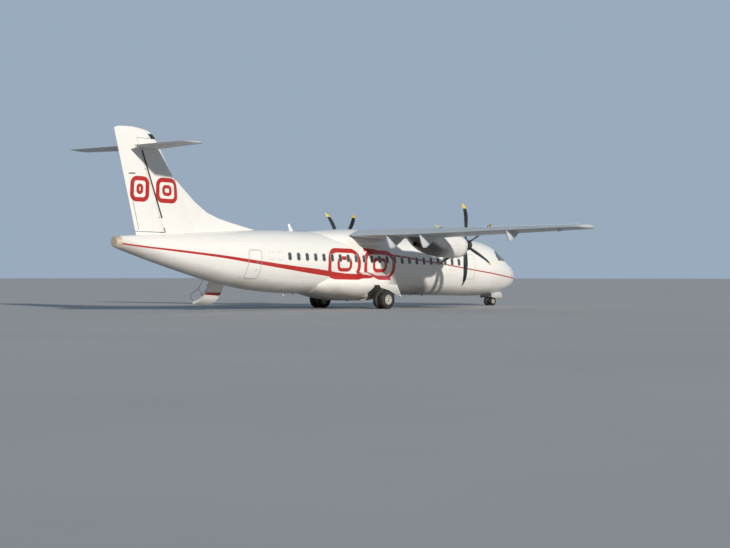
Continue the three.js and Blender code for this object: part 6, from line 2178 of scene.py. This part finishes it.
class KeptNodes:
    """Every CAD node whose own solid shows, with a finer finish by its slot."""

    looks: dict[str, str] = {"white_paint": "livery", "wing_paint": "wing", "gear_steel": "gear"}

    def build(self) -> None:
        """Gives each node that no piece stands for a smooth-shaded copy with its finish."""
        bodies = {node: body for body, nodes in frame["record"]["behaviour"]["bodies"].items() for node in nodes}
        for part in frame["record"]["subparts"]:
            node, slot = part["node"], part["material_slot"]
            if node not in REPLACED:
                piece(f"{node}_fine", cad_shape(node), Finish(self.looks[slot], slot, bodies[node], (node,)))


# Stage


@dataclass
class Stage:
    """Pale floor, soft light and the camera at the photograph's angle."""

    camera_at: Vec = (-57.102, -53.131, 1.521)
    yaw: float = math.radians(48.008)
    pitch: float = math.radians(0.080)
    roll: float = math.radians(0.025)
    lens: float = 81.40
    sun_from: Vec = (-0.389, -0.874, 0.292)
    sun_energy: float = 3.8
    sun_colour: Vec = (1.0, 0.965, 0.90)
    sky: Vec = (0.55, 0.70, 0.88)
    bright_side: Vec = (0.72, 0.65, 0.25)
    surroundings: Pair = (0.16, 0.58)
    floor_size: float = 900.0

    def build(self) -> None:
        """Makes the floor, the lights and the camera."""
        floor = linked(bpy.data.meshes.new("floor"), "floor")
        bm = bmesh.new()
        bmesh.ops.create_grid(bm, x_segments=4, y_segments=4, size=self.floor_size)
        bm.to_mesh(floor.data)
        bm.free()
        floor.data.transform(Matrix.Translation((0, 0, -0.002)))
        n = Nodes("pale_floor")
        n.colour(n.mix(n.noise(n.place(), 0.15, 5.0), (0.36, 0.36, 0.365), (0.43, 0.43, 0.43)))
        n.set(roughness=0.85)
        floor.data.materials.append(n.material)
        sun = bpy.data.lights.new("key_light", "SUN")
        sun.energy, sun.angle, sun.color = self.sun_energy, math.radians(2.0), self.sun_colour
        linked(sun, "key_light").rotation_euler = Vector(self.sun_from).to_track_quat("Z", "Y").to_euler()
        world = bpy.data.worlds.new("studio")
        world.use_nodes = True
        background = world.node_tree.nodes["Background"]
        background.inputs["Color"].default_value = (*self.sky, 1)
        self._brighten_far_side(world.node_tree, background.inputs["Strength"])
        bpy.context.scene.world = world
        bpy.context.scene.view_settings.view_transform = "Standard"
        self._camera()

    def _brighten_far_side(self, tree: bpy.types.NodeTree, strength: bpy.types.NodeSocket) -> None:
        """Makes the surroundings brighter on the side that the camera faces."""
        place = tree.nodes.new("ShaderNodeTexCoord")
        toward = tree.nodes.new("ShaderNodeVectorMath")
        toward.operation = "DOT_PRODUCT"
        toward.inputs[1].default_value = self.bright_side
        ramp = tree.nodes.new("ShaderNodeMapRange")
        for socket, value in zip(("From Min", "From Max", "To Min", "To Max"), (-0.4, 0.75, *self.surroundings)):
            ramp.inputs[socket].default_value = value
        for source, target in ((place.outputs["Generated"], toward.inputs[0]),
                               (toward.outputs["Value"], ramp.inputs["Value"]), (ramp.outputs["Result"], strength)):
            tree.links.new(source, target)

    def _camera(self) -> None:
        """Makes the camera."""
        data = bpy.data.cameras.new("camera")
        data.lens, data.sensor_width, data.clip_end = self.lens, 36, 2000
        camera = linked(data, "camera")
        camera.location = self.camera_at
        level = math.cos(self.pitch)
        ahead = Vector((math.sin(self.yaw) * level, math.cos(self.yaw) * level, math.sin(self.pitch)))
        turn = (-ahead).to_track_quat("Z", "Y").to_matrix().to_4x4()
        camera.matrix_world = Matrix.Translation(self.camera_at) @ turn @ Matrix.Rotation(self.roll, 4, "Z")
        bpy.context.scene.camera = camera


def main() -> None:
    """Builds the aircraft and its stage."""
    logging.basicConfig(level=logging.INFO, format="%(message)s")
    row = PartRow()
    FUSELAGE.build()
    FUSELAGE.glass()
    CabinWindows().build(row)
    FlightDeck().build()
    Doors().build()
    WING.build(row)
    Fairings().build()
    Nacelle().build(row)
    Propeller().build(row)
    Wheels().build(row)
    MainGear().build()
    NoseGear().build()
    Tail().build()
    KeptNodes().build()
    Stage().build()
    bpy.context.view_layer.update()


if __name__ == "__main__":
    main()
